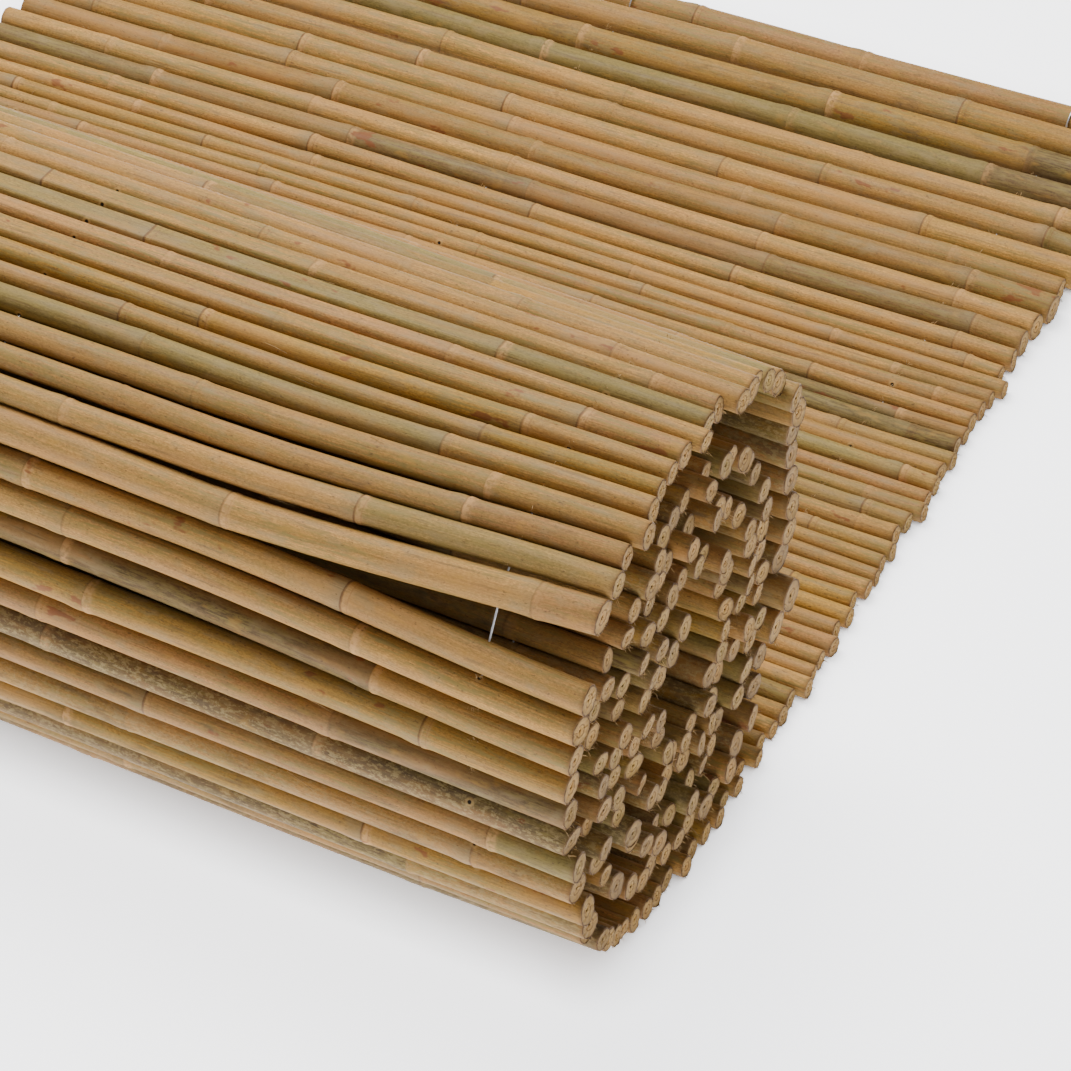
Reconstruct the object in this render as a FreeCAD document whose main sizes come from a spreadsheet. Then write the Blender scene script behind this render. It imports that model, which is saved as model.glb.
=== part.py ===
"""Bamboo screening roll: a cane screen on three wires, wound up but for its first stretch.

X runs along the canes, Y over the floor from the roll to the free edge, and Z up.
The origin is on the floor, midway between the roll's front and the free edge.
Lengths are in millimetres. A place along the screen is given in turns: from -1 at the free
edge to 0 at the roll's lowest line, and from there once round the roll for each whole turn.
"""

import FreeCAD
import Part

import math
import os
import random

# Driving dimensions: name, value and meaning
DIMENSIONS = [
    ("cane_length", 1000, "height of the screen when it stands"),
    ("edge_cane", 30, "diameter of the canes at the free edge"),
    ("flat_cane", 16.5, "diameter of the canes in the middle of the flat stretch"),
    ("under_cane", 19, "diameter of the canes under the roll"),
    ("front_cane", 26, "diameter of the canes on the roll's front"),
    ("top_cane", 19.5, "diameter of the canes on the roll's top"),
    ("back_cane", 25, "diameter of the canes on the roll's back"),
    ("inner_cane", 20, "diameter of the canes in the inner turns"),
    ("grade_spread", 0.1, "share by which a cane may be thicker or thinner"),
    ("end_scatter", 5, "how far a cut end stands out or in"),
    ("cane_gap", 0.1, "space between two canes that are pushed together"),
    ("edge_slack", 4, "extra space between the loose canes at the free edge"),
    ("flat_length", 975, "from the roll's lowest line to the cane at the free edge"),
    ("roll_half_width", 186, "from the roll's middle to its front, at the cane centres"),
    ("roll_half_height", 194, "from the roll's middle to its top, at the cane centres"),
    ("roll_squareness", 2.6, "power of the roll's outline, 2 for an ellipse"),
    ("side_slack", 11.5, "space between two turns at the roll's sides"),
    ("height_slack", 9.5, "space between two turns above and below the middle"),
    ("turn_sag", 2, "how far each turn hangs below the one around it"),
    ("core_half_width", 38, "half the width of the innermost turn"),
    ("roll_skew", 50, "how far the roll's left end lies back"),
    ("front_gap", 32, "wedge-shaped gap between two canes on the front"),
    ("wire_gauge", 1.6, "thickness of the galvanised wire"),
    ("hole_clearance", 0.7, "space around the wire in a drilled hole"),
    ("wire_inset", 82, "from the screen's edges to the first and the last wire"),
    ("outer_sides", 8, "flats that stand for the round of an outer cane"),
    ("inner_sides", 8, "flats that stand for the round of an inner cane"),
]

# Places along the flat stretch, as shares of it from the roll, with the cane found there
FLAT_ZONES = [
    (0.0, "under_cane"),
    (0.25, "flat_cane"),
    (0.65, "flat_cane"),
    (0.78, "front_cane"),
    (1.0, "edge_cane"),
]
# Places round the roll, in turns, with the cane found there
ROLL_ZONES = [
    (0.0, "under_cane"),
    (0.13, "under_cane"),
    (0.2, "front_cane"),
    (0.34, "front_cane"),
    (0.4, "top_cane"),
    (0.62, "top_cane"),
    (0.68, "back_cane"),
    (0.8, "back_cane"),
    (0.95, "inner_cane"),
]
LOOSE_FROM = -0.8  # the canes lie loose between the free edge and this turn
SPLIT_TURN = 0.33  # turn at which the front's gap opens
SHRINK_FROM = 0.7  # turn from which the first layer runs down inside itself
FAN_CANES = 24  # canes over which the front's gap is shared out at the left end
LOOP_RUNS = 6  # straight runs in the wire's bend over the last cane
LOOP_ANGLE = math.radians(150)
HALVINGS = 40
CANE_SEED = 7
INNER_TURNS = ["second_turn", "third_turn", "fourth_turn", "core_turn"]
STEP_FOLDER = "parts"

doc = FreeCAD.newDocument("bamboo_screening_roll")
sheet = doc.addObject("Spreadsheet::Sheet", "Dimensions")
size = {}
for row, (name, value, meaning) in enumerate(DIMENSIONS, start=1):
    sheet.set(f"A{row}", meaning)
    sheet.set(f"B{row}", str(value))
    sheet.setAlias(f"B{row}", name)
    size[name] = value
doc.recompute()

# Sizes that follow from the driving ones
hole_width = size["wire_gauge"] + 2 * size["hole_clearance"]
thick_inner = size["inner_cane"] * (1 + size["grade_spread"])
turn_step_side = thick_inner + size["side_slack"]
turn_step_height = thick_inner + size["height_slack"]
flat_seat = math.cos(math.pi / size["outer_sides"])
seat_height = size["under_cane"] / 2
front_reach = size["roll_half_width"] + size["front_cane"] / 2
edge_reach = size["flat_length"] + size["edge_cane"] / 2
roll_y = (front_reach - edge_reach) / 2
right_end = size["cane_length"] / 2
wire_places = {
    "near_end_wire": right_end - size["wire_inset"],
    "middle_wire": 0.0,
    "far_end_wire": size["wire_inset"] - right_end,
}


def layers_inside(turn):
    """How many layers the screen lies inside its outermost one."""
    if turn >= 1:
        return turn
    return max(0.0, (turn - SHRINK_FROM) / (1 - SHRINK_FROM))


def half_width(turn):
    """Half the width of the roll at one of its turns."""
    return size["roll_half_width"] - turn_step_side * layers_inside(turn)


def winding(turn, skew=0.0):
    """Centre line of the screen as (y, z): flat up to turn 0, then a squarish spiral."""
    if turn < 0:
        return roll_y + skew - turn * (size["flat_length"] - skew), seat_height
    inside = layers_inside(turn)
    half_height = size["roll_half_height"] - turn_step_height * inside
    middle = seat_height + size["roll_half_height"] - size["turn_sag"] * inside
    power = 2 / size["roll_squareness"]
    across = math.sin(2 * math.pi * turn)
    down = math.cos(2 * math.pi * turn)
    y = roll_y + skew - half_width(turn) * math.copysign(abs(across) ** power, across)
    z = middle - half_height * math.copysign(abs(down) ** power, down)
    return y, z


def step_along(turn, pitch, skew=0.0):
    """The next turn at which the winding lies one pitch away from where it is now."""
    start = winding(turn, skew)
    stride = pitch / size["flat_length"] / 4
    far = turn + stride
    while math.dist(winding(far, skew), start) < pitch:
        far += stride
    near = far - stride
    for _ in range(HALVINGS):
        middle = (near + far) / 2
        if math.dist(winding(middle, skew), start) < pitch:
            near = middle
        else:
            far = middle
    return far


def cane_found_at(turn):
    """The two sizes of cane that a place lies between, and the share of the second."""
    zones, place = (FLAT_ZONES, -turn) if turn < 0 else (ROLL_ZONES, turn)
    for (start, first), (end, second) in zip(zones, zones[1:]):
        if place <= end:
            return first, second, (place - start) / (end - start)
    return zones[-1][1], zones[-1][1], 0.0


class Cane:
    """One cane: its thickness and the two ends of its axis."""

    def __init__(self, turn, chance):
        first, second, share = cane_found_at(turn)
        grade = 1 + size["grade_spread"] * chance.uniform(-1, 1)
        self.diameter = grade * (size[first] * (1 - share) + size[second] * share)
        self.radius_formula = (
            f"(Dimensions.{first} * {1 - share:.4f} + Dimensions.{second} * {share:.4f})"
            f" * {grade:.4f} / 2"
        )
        self.seat = self.diameter / 2 * flat_seat
        self.stand_out = size["end_scatter"] * chance.uniform(-1, 1)
        self.right_turn = turn
        self.left_turn = turn

    def end(self, side):
        """Centre of the cane's right (1) or left (-1) cut end."""
        turn = self.right_turn if side > 0 else self.left_turn
        y, z = winding(turn, size["roll_skew"] if side < 0 else 0.0)
        z = self.seat if turn < 0 else max(z, self.diameter / 2)
        return FreeCAD.Vector(side * right_end + self.stand_out, y, z)

    def centre_at(self, x):
        """Point of the axis at one place along X."""
        right, left = self.end(1), self.end(-1)
        return right + (left - right) * ((right.x - x) / (right.x - left.x))


def space_between(canes, place):
    """Space between a cane and the next one that both ends of the screen have."""
    if place == 0:
        return hole_width
    loose = canes[place].right_turn < LOOSE_FROM
    return size["cane_gap"] + (size["edge_slack"] if loose else 0.0)


def lay_right_ends():
    """Canes from the free edge inwards, with their right ends laid along the winding."""
    chance = random.Random(CANE_SEED)
    canes = [Cane(-1.0, chance)]
    while half_width(canes[-1].right_turn) > size["core_half_width"]:
        last = canes[-1]
        cane = Cane(last.right_turn, chance)
        pitch = (last.diameter + cane.diameter) / 2 + space_between(canes, len(canes) - 1)
        if last.right_turn < 0:
            pitch *= 1 + size["roll_skew"] / size["flat_length"]
        cane.right_turn = step_along(last.right_turn, pitch)
        if last.right_turn < SPLIT_TURN <= cane.right_turn:
            cane.right_turn = step_along(last.right_turn, pitch + size["front_gap"])
        canes.append(cane)
    return canes


def lay_left_ends(canes):
    """Left ends along the skewed winding, where the front's gap is shared by many canes."""
    split = sum(cane.right_turn < SPLIT_TURN for cane in canes)
    for place, (last, cane) in enumerate(zip(canes, canes[1:])):
        pitch = (last.diameter + cane.diameter) / 2 + space_between(canes, place)
        if abs(place - split) < FAN_CANES / 2:
            pitch += size["front_gap"] / FAN_CANES
        cane.left_turn = step_along(last.left_turn, pitch, size["roll_skew"])


def along_screen(canes, place):
    """Direction from a cane's neighbour on one side to its neighbour on the other."""
    before = canes[max(place - 1, 0)].centre_at(0.0)
    after = canes[min(place + 1, len(canes) - 1)].centre_at(0.0)
    if canes[place].right_turn < 0:
        after.z = before.z
    return (after - before).normalize()


def make_cane(canes, place, sides, flat_first):
    """One cane as a prism, with flats or edges of it towards its two neighbours."""
    cane = canes[place]
    right, left = cane.end(1), cane.end(-1)
    axis = (left - right).normalize()
    facing = along_screen(canes, place)
    prism = doc.addObject("Part::Prism", f"cane_{place + 1}")
    prism.setExpression("Polygon", f"Dimensions.{sides}")
    prism.setExpression("Circumradius", cane.radius_formula)
    prism.setExpression("Height", "Dimensions.cane_length")
    turned = FreeCAD.Rotation(facing, axis.cross(facing), axis, "ZXY")
    if flat_first:
        turned = turned * FreeCAD.Rotation(FreeCAD.Vector(0, 0, 1), 180 / size[sides])
    prism.Placement = FreeCAD.Placement(right, turned)
    return prism


def touching_point(canes, place, x):
    """Point halfway between a cane's side and the next cane's, where the wire passes."""
    here = canes[place].centre_at(x)
    there = canes[place + 1].centre_at(x)
    thicker = (canes[place].diameter - canes[place + 1].diameter) / 2
    return here + (there - here) * (1 + thicker / (there - here).Length) / 2


def wire_line(canes, drilled, x):
    """Corners of a wire's line: over the last cane, then from gap to gap through the canes."""
    inner = touching_point(canes, 0, x)
    centre = canes[0].centre_at(x)
    outwards = (centre - inner).normalize()
    upwards = FreeCAD.Vector(1, 0, 0).cross(outwards)
    bend = canes[0].diameter / 2 + size["wire_gauge"] / 2 + size["hole_clearance"]
    line = []
    for run in range(LOOP_RUNS, -1, -1):
        angle = LOOP_ANGLE * run / LOOP_RUNS
        line.append(centre + (outwards * math.cos(angle) + upwards * math.sin(angle)) * bend)
    line.extend(touching_point(canes, place, x) for place in range(drilled))
    return line


def make_drilling(name, start, end, cane):
    """A square drill hole through one cane, from one gap to the next."""
    hole = doc.addObject("Part::Box", name)
    for length in ("Length", "Width"):
        hole.setExpression(length, "Dimensions.wire_gauge + 2 * Dimensions.hole_clearance")
    hole.setExpression("Height", f"({cane.radius_formula}) * 4")
    along = (end - start).normalize()
    across = FreeCAD.Vector(1, 0, 0)
    turned = FreeCAD.Rotation(across, along.cross(across), along, "ZXY")
    middle = (start + end) / 2
    corner = FreeCAD.Vector(-hole_width / 2, -hole_width / 2, -cane.diameter)
    hole.Placement = FreeCAD.Placement(middle + turned.multVec(corner), turned)
    return hole


def make_group(name, members):
    """Like pieces kept together under one name."""
    group = doc.addObject("Part::Compound", name)
    group.Links = members
    return group


def make_wire(name, line):
    """A wire as a flat strip of the wire's gauge, bent along its line."""
    half = size["wire_gauge"] / 2
    sideways = []
    for place in range(len(line)):
        before = line[max(place - 1, 0)]
        after = line[min(place + 1, len(line) - 1)]
        here = line[place]
        normals = [
            FreeCAD.Vector(1, 0, 0).cross(run.normalize())
            for run in (here - before, after - here)
            if run.Length > 0
        ]
        mean = sum(normals, FreeCAD.Vector()) / len(normals)
        sideways.append(mean * (half / mean.dot(mean)))
    rim = [point + side for point, side in zip(line, sideways)]
    rim += [point - side for point, side in reversed(list(zip(line, sideways)))]
    outline = doc.addObject("Part::Polygon", f"{name}_outline")
    outline.Nodes = [point - FreeCAD.Vector(half, 0, 0) for point in rim]
    outline.Close = True
    wire = doc.addObject("Part::Extrusion", name)
    wire.Base = outline
    wire.Dir = FreeCAD.Vector(1, 0, 0)
    wire.DirMode = "Custom"
    wire.setExpression("LengthFwd", "Dimensions.wire_gauge")
    wire.Solid = True
    return wire


def make_drilled_cane(canes, place, lines):
    """One cane of the outer layer with a hole for each wire."""
    holes = []
    for wire, line in lines.items():
        start, end = line[LOOP_RUNS + place], line[LOOP_RUNS + place + 1]
        holes.append(make_drilling(f"{wire}_hole_{place + 1}", start, end, canes[place]))
    drilled = doc.addObject("Part::Cut", f"drilled_cane_{place + 1}")
    drilled.Base = make_cane(canes, place, "outer_sides", True)
    drilled.Tool = make_group(f"holes_{place + 1}", holes)
    return drilled


def check_and_write(nodes):
    """Stop on any failed feature, then write each node to its own file."""
    doc.recompute()
    for feature in doc.Objects:
        faults = {"Invalid", "Error"} & set(feature.State)
        if faults:
            raise RuntimeError(f"{feature.Name} is {', '.join(faults)}")
    os.makedirs(STEP_FOLDER, exist_ok=True)
    for node in nodes:
        if node.Shape.isNull() or not node.Shape.isValid():
            raise RuntimeError(f"{node.Name} has no sound shape")
        node.Label = node.Name
        node.Shape.exportStep(f"{STEP_FOLDER}/{node.Name}.step")
        print(node.Name, len(node.Shape.Solids), "solids")


canes = lay_right_ends()
lay_left_ends(canes)
on_floor = sum(cane.right_turn < 0 for cane in canes)
wired = sum(cane.right_turn < SHRINK_FROM for cane in canes)
lines = {name: wire_line(canes, wired, x) for name, x in wire_places.items()}
wired_canes = [make_drilled_cane(canes, place, lines) for place in range(wired)]
nodes = [
    make_group("flat_stretch_canes", wired_canes[:on_floor]),
    make_group("outer_turn_canes", wired_canes[on_floor:]),
]
for index, name in enumerate(INNER_TURNS):
    first = SHRINK_FROM + index
    places = [p for p, cane in enumerate(canes) if first <= cane.right_turn < first + 1]
    turn_canes = [make_cane(canes, place, "inner_sides", False) for place in places]
    nodes.append(make_group(f"{name}_canes", turn_canes))
nodes.extend(make_wire(name, line) for name, line in lines.items())
check_and_write(nodes)
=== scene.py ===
"""A partly unrolled bamboo screen: its canes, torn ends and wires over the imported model."""

import math

import bpy
import numpy as np
from mathutils import Matrix, Vector


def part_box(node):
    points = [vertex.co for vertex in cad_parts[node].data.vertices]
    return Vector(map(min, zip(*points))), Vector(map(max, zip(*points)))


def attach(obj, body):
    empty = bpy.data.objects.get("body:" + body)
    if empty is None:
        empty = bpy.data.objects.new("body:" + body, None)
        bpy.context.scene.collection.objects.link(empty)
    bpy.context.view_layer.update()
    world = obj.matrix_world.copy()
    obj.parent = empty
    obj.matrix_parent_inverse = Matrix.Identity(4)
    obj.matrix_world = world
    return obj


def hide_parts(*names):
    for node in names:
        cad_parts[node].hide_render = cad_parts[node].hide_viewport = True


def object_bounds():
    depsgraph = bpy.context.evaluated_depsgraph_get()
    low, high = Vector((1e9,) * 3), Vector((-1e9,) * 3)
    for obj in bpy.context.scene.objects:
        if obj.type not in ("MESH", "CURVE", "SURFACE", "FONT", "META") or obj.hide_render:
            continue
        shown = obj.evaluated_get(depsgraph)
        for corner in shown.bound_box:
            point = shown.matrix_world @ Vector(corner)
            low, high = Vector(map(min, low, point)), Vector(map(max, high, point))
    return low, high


bl_info = {
    "name": "Bamboo Screening Roll",
    "version": (1, 0, 0),
    "blender": (4, 5, 0),
    "location": "View3D > Sidebar > Bamboo Screen",
    "description": "Dresses a partly unrolled bamboo screen with canes, torn ends and wires",
    "category": "Object",
}

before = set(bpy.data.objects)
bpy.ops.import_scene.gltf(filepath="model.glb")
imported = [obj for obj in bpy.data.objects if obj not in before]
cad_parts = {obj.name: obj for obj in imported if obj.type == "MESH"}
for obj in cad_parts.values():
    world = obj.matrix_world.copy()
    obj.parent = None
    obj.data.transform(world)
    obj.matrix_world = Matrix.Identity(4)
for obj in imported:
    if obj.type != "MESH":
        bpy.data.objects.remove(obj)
CAD_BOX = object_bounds()

FLAT_NODE = "flat_stretch_canes"
OUTER_NODE = "outer_turn_canes"
INNER_NODES = ("second_turn_canes", "third_turn_canes", "fourth_turn_canes", "core_turn_canes")
CANE_NODES = (FLAT_NODE, OUTER_NODE) + INNER_NODES
WIRE_NODES = ("near_end_wire", "middle_wire", "far_end_wire")

# Where the three wires cross the canes, as the middles of their nodes' boxes.
WIRE_PLANES = tuple(sum(corner.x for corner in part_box(node)) / 2 for node in WIRE_NODES)
WIRE_SPREAD = max(abs(plane) for plane in WIRE_PLANES)

# Rings of vertices set round each growth ring, as distances from it along the cane.
FINE_RINGS = (-0.015, -0.009, -0.0052, -0.0028, -0.0010, 0.0006, 0.0022, 0.0048, 0.009, 0.017)
PLAIN_RINGS = (-0.012, -0.005, -0.0012, 0.0008, 0.004, 0.012)
# Rings of vertices near a cut end, how far in the others start, and where these lie between two
# growth rings, as shares of the way.
END_RINGS = (0.0012, 0.008)
FIRST_RING = 0.010
BETWEEN_RINGS = (0.25, 0.5, 0.75)
# The cut end from the bottom of its pith hole to its rim: depth in metres, share of the radius.
END_DEPTHS = np.array((0.0035, 0.0009, 0.0003, 0.0, 0.0002))
END_SHARES = np.array((0.06, 0.13, 0.52, 0.86, 0.975))
ENDS = len(END_DEPTHS)
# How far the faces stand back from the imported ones, and how far in that fades out.
END_BACK_OFF = 0.0016
END_FADE = 0.012
# How much a sawn face leans, as a slope, and how rough it is.
FACE_LEAN = 0.060
FACE_ROUGHNESS = 0.00022
# Vertices this close to a packed cane's end belong to its cut face, and the rind browns this far.
END_RING_REACH = 0.005
RIM_DEPTH = 0.0015
# The swelling of a growth ring: height as a share of the swell, place past the ring, half width.
HUMPS = ((0.70, -0.0020, 0.0028), (0.80, 0.0060, 0.0060), (-0.50, 0.0006, 0.0012))
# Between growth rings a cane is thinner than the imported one; no cane gets thicker than this.
BETWEEN_THICKNESS, THICKEST = 0.988, 1.045
# Share of the canes with their thin end at the near side.
THIN_FIRST = 0.3
# How far the pale scar before a growth ring, the grey bloom after it and its brown line reach.
SCAR_REACH, BLOOM_REACH, LINE_REACH = 0.016, 0.030, 0.0028
# The bud groove deepens over the first length and fades over the second; its half width is in
# radians. The first internode's growth ring is taken to lie this far outside the cane.
GROOVE_START, GROOVE_LENGTH, GROOVE_WIDTH = 0.006, 0.09, 0.42
RING_OUTSIDE = 0.1
# How far a cane's section is from round, as a share of the radius.
OVAL = 0.015
# Holes are drawn this far round from a cane's top, in radians: a little below the middle of its
# flanks, and higher up on a share of the canes.
HOLE_TURN = 1.78
HIGH_HOLES = 0.07
HIGH_HOLE_TURNS = (0.9, 1.25)
# Neighbouring canes bow in waves: so many along a cane, and one in this run of the screen.
WAVES_ALONG = 1.2
WAVE_RUN = 0.6
# How far round from a cane's top the fuzz of the drilling stands, and how long its hairs are.
FUZZ_TURN = 1.20
FUZZ_LENGTHS = (0.0015, 0.0045)
# The patterns of two canes are read up to this far apart in the noises.
PATTERN_SPREAD = 40.0
# About a whole turn, for random starts.
ANY_TURN = 6.28
# What each group of random draws adds to the seed.
OUTER_DRAWS, INNER_DRAWS, FIBRE_DRAWS, SAW_DRAWS = 1, 2, 3, 10
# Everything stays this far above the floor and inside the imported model's box.
ABOVE_FLOOR = 0.0002
INSIDE_BOX = 0.0001
TONE_NAMES = ("straw", "blush", "olive", "ochre", "weathered")
# How common each of these tones is in the flat stretch, the outer turn and the inner turns.
FLAT_MIXTURE = (5.5, 2.6, 2.0, 1.3, 0.4)
OUTER_MIXTURE = (5, 3, 2.4, 1.6, 0.4)
INNER_MIXTURE = (4, 2.5, 3.2, 1.2, 0.8)
# Near and far tone of the front's canes, counted from the first one above the wedge shaped gap.
FRONT_TONES = {
    -12: ("weathered", "weathered"), -11: ("blush", "straw"), -10: ("straw", "weathered"),
    -9: ("ochre", "ochre"), -8: ("straw", "straw"), -7: ("olive", "blush"),
    -6: ("weathered", "weathered"), -5: ("weathered", "blush"), -4: ("ochre", "ochre"),
    -3: ("straw", "weathered"), -2: ("straw", "straw"), -1: ("straw", "straw"),
    0: ("blush", "straw"), 1: ("olive", "straw"), 2: ("blush", "straw"), 3: ("straw", "straw"),
    4: ("straw", "olive"), 5: ("ochre", "straw"), 6: ("straw", "ochre"), 7: ("blush", "straw"),
    8: ("straw", "blush"), 9: ("olive", "olive"), 10: ("blush", "straw"), 11: ("straw", "straw"),
}
# The same for the canes at the free edge, counted from the edge cane, and how dirty they are.
EDGE_TONES = {
    0: ("blush", "blush"), 1: ("ochre", "straw"), 2: ("weathered", "ochre"),
    3: ("weathered", "olive"), 4: ("straw", "straw"), 5: ("olive", "straw"),
}
EDGE_SOIL = {0: 0.40, 1: 0.45, 2: 0.55, 3: 0.40}
# How many internodes from the near end have the first of the two tones.
NEAR_INTERNODES = 1
# How dirty the front's canes are, counted as their tones are.
FRONT_SOIL = {
    -12: 0.7, -11: 0.6, -10: 0.75, -9: 0.55, -8: 0.7, -7: 0.6, -6: 0.85, -5: 0.5, -4: 0.30,
    -3: 0.45, -2: 0.2, -1: 0.1, 0: 0.05, 1: 0.1,
}
# The gap closes mostly from above; one cane below it lies sunk.
GAP_SHARE_ABOVE = 0.6
CANES_BENT_ABOVE = 22
SUNK_CANE = -3
SUNK_DEPTH = 0.006
# At how many places along the canes neighbours are kept apart, and in how many rounds.
STATIONS = 161
MOVING_ROUNDS = 40
# The floor's own glow, how near to a piece it fades into painted contact shadow, and how steeply.
FLOOR_GLOW = 3.0
CONTACT_REACH = 0.05
CONTACT_POWER = 2.5
# Where the lights face.
LIT_SPOT = (0.0, 0.0, 0.1)
RIND_SLOT, CUT_SLOT = 0, 1
# How fine the streaks are on rind, torn fibre and wire, per metre.
RIND_FINENESS, SHRED_FINENESS, WIRE_FINENESS = 900.0, 1500.0, 2600.0
# Radius of a drilled hole, and of the frayed rind round it.
HOLE_RADIUS, FRAY_RADIUS = 0.0014, 0.0034
# Fixed colours of the marks on the rind.
GREY_PATCH = (0.26, 0.185, 0.085)
BLOOM_GREY = (0.22, 0.165, 0.085)
LINE_BROWN = (0.12, 0.052, 0.020)
SEAM_BROWN = (0.22, 0.10, 0.04)
SCRATCH_BROWN = (0.13, 0.075, 0.032)
SPECK_BROWN = (0.085, 0.045, 0.025)
RIND_DIRT_AND_SHADE = (0.115, 0.082, 0.050)
MOULD = (0.33, 0.24, 0.10)
BURNT = (0.15, 0.072, 0.028)
# Painted shade inside a drilled hole.
HOLE_PAINTED_SHADE = (0.012, 0.008, 0.005)
# Fixed colours of the cut face, the torn fibre and the wire.
FACE_DOT = (0.27, 0.155, 0.065)
FACE_WALL = (0.200, 0.116, 0.034)
FACE_GREY = (0.20, 0.120, 0.048)
FACE_RIM = (0.060, 0.027, 0.010)
FACE_RING = (0.110, 0.054, 0.018)
# Painted shade down the pith hole.
FACE_HOLE_SHADE = (0.055, 0.026, 0.011)
FACE_DIRT_AND_SHADE = (0.12, 0.08, 0.045)
SHRED_STREAK = (0.30, 0.17, 0.075)
ZINC_OXIDE = (0.40, 0.41, 0.42)
ZINC_BRIGHT = (0.75, 0.76, 0.77)


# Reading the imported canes

def triangles_of(node):
    """The node's corner points and its triangles, with points that coincide made one."""
    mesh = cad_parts[node].data
    points = np.empty(len(mesh.vertices) * 3, np.float32)
    mesh.vertices.foreach_get("co", points)
    corners = np.empty(len(mesh.loops), np.int32)
    mesh.loops.foreach_get("vertex_index", corners)
    points = points.reshape(-1, 3).astype(float)
    _, first, weld = np.unique(
        np.round(points, 6), axis=0, return_index=True, return_inverse=True
    )
    order = np.argsort(np.argsort(first))
    return points[np.sort(first)], order[weld.ravel()[corners]].reshape(-1, 3)


def islands(points, triangles):
    """A number for each point, the same for all the points of one solid: the lowest spreads."""
    label = np.arange(len(points))
    while True:
        spread = label.copy()
        np.minimum.at(spread, triangles.ravel(), np.repeat(label[triangles].min(1), 3))
        spread = spread[spread]
        if np.array_equal(spread, label):
            return label
        label = spread


def ends_of(node):
    """Cut centres at the near and far end and the radius of every solid of the node."""
    points, triangles = triangles_of(node)
    label = islands(points, triangles)
    near, far, radius = [], [], []
    for number in np.unique(label):
        solid = points[label == number]
        right = solid[solid[:, 0] > solid[:, 0].max() - END_RING_REACH]
        left = solid[solid[:, 0] < solid[:, 0].min() + END_RING_REACH]
        near.append(right.mean(0))
        far.append(left.mean(0))
        radius.append(np.linalg.norm(right - right.mean(0), axis=1).mean())
    return np.array(near), np.array(far), np.array(radius)


def wound_canes():
    """Each node's canes in the order the wires thread them, from the free edge to the core.

    The first is the one furthest out along the screen, and each next one is the nearest left.
    """
    wound = {}
    last = np.array([0.0, CAD_BOX[1][1], 0.0])
    for node in CANE_NODES:
        near, far, radius = ends_of(node)
        middle = (near + far) / 2
        middle[:, 0] = 0.0
        order, left = [], list(range(len(middle)))
        while left:
            nearest = min(left, key=lambda number: np.linalg.norm(middle[number] - last))
            left.remove(nearest)
            order.append(nearest)
            last = middle[nearest]
        wound[node] = near[order], far[order], radius[order]
    return wound


WOUND_CANES = wound_canes()


class Canes:
    """The canes of one node: cut centres at both ends, radius and outward direction of each."""

    def __init__(self, node, roll_axis=None):
        self.near, self.far, self.radius = WOUND_CANES[node]
        self.count = len(self.near)
        steps = np.linalg.norm(np.diff(self.near[:, 1:], axis=0), axis=1)
        self.run = np.concatenate([[0.0], np.cumsum(steps)])
        middle = (self.near + self.far) / 2
        outward = np.zeros((self.count, 3))
        outward[:, 2] = 1.0
        if roll_axis is not None:
            outward = middle - roll_axis
            outward[:, 0] = 0.0
        self.span = self.far - self.near
        self.length = np.linalg.norm(self.span, axis=1)
        self.along = self.span / self.length[:, None]
        outward -= self.along * (outward * self.along).sum(1)[:, None]
        self.outward = outward / np.linalg.norm(outward, axis=1)[:, None]
        self.sideways = np.cross(self.along, self.outward)

    def cut_back(self, near_end, far_end):
        """Saws these lengths off both ends of every cane."""
        self.near = self.near + self.along * near_end[:, None]
        self.far = self.far - self.along * far_end[:, None]
        self.span = self.far - self.near
        self.length = np.linalg.norm(self.span, axis=1)

    def centre_at(self, plane):
        """Where each cane's middle line crosses the plane x = plane: straight between its ends."""
        share = (plane - self.near[:, 0]) / self.span[:, 0]
        return self.near + self.span * share[:, None]


def sawn_canes(node, axis=None):
    """The node's canes, both ends of each sawn back at random; inner turns by the whole depth."""
    make = bpy.context.scene.bamboo_canes
    order = CANE_NODES.index(node)
    canes = Canes(node, axis)
    rng = np.random.default_rng(make.seed + SAW_DRAWS + order)
    deepest = make.sawn_back if node in INNER_NODES else make.sawn_back * 0.35
    canes.cut_back(*(deepest * rng.random((2, canes.count)) ** 1.4))
    return canes


# Settings

def length_setting(title, text, start):
    """A length in metres that the user can change."""
    return bpy.props.FloatProperty(name=title, description=text, default=start, unit="LENGTH")


def share_setting(title, text, start):
    """A share of something else that the user can change."""
    return bpy.props.FloatProperty(name=title, description=text, default=start, subtype="FACTOR")


def count_setting(title, text, start):
    """A whole number that the user can change."""
    return bpy.props.IntProperty(name=title, description=text, default=start)


def colour_setting(title, text, start):
    """A colour that the user can change."""
    return bpy.props.FloatVectorProperty(
        name=title, description=text, default=start, size=3, subtype="COLOR", min=0.0, max=1.0)


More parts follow.
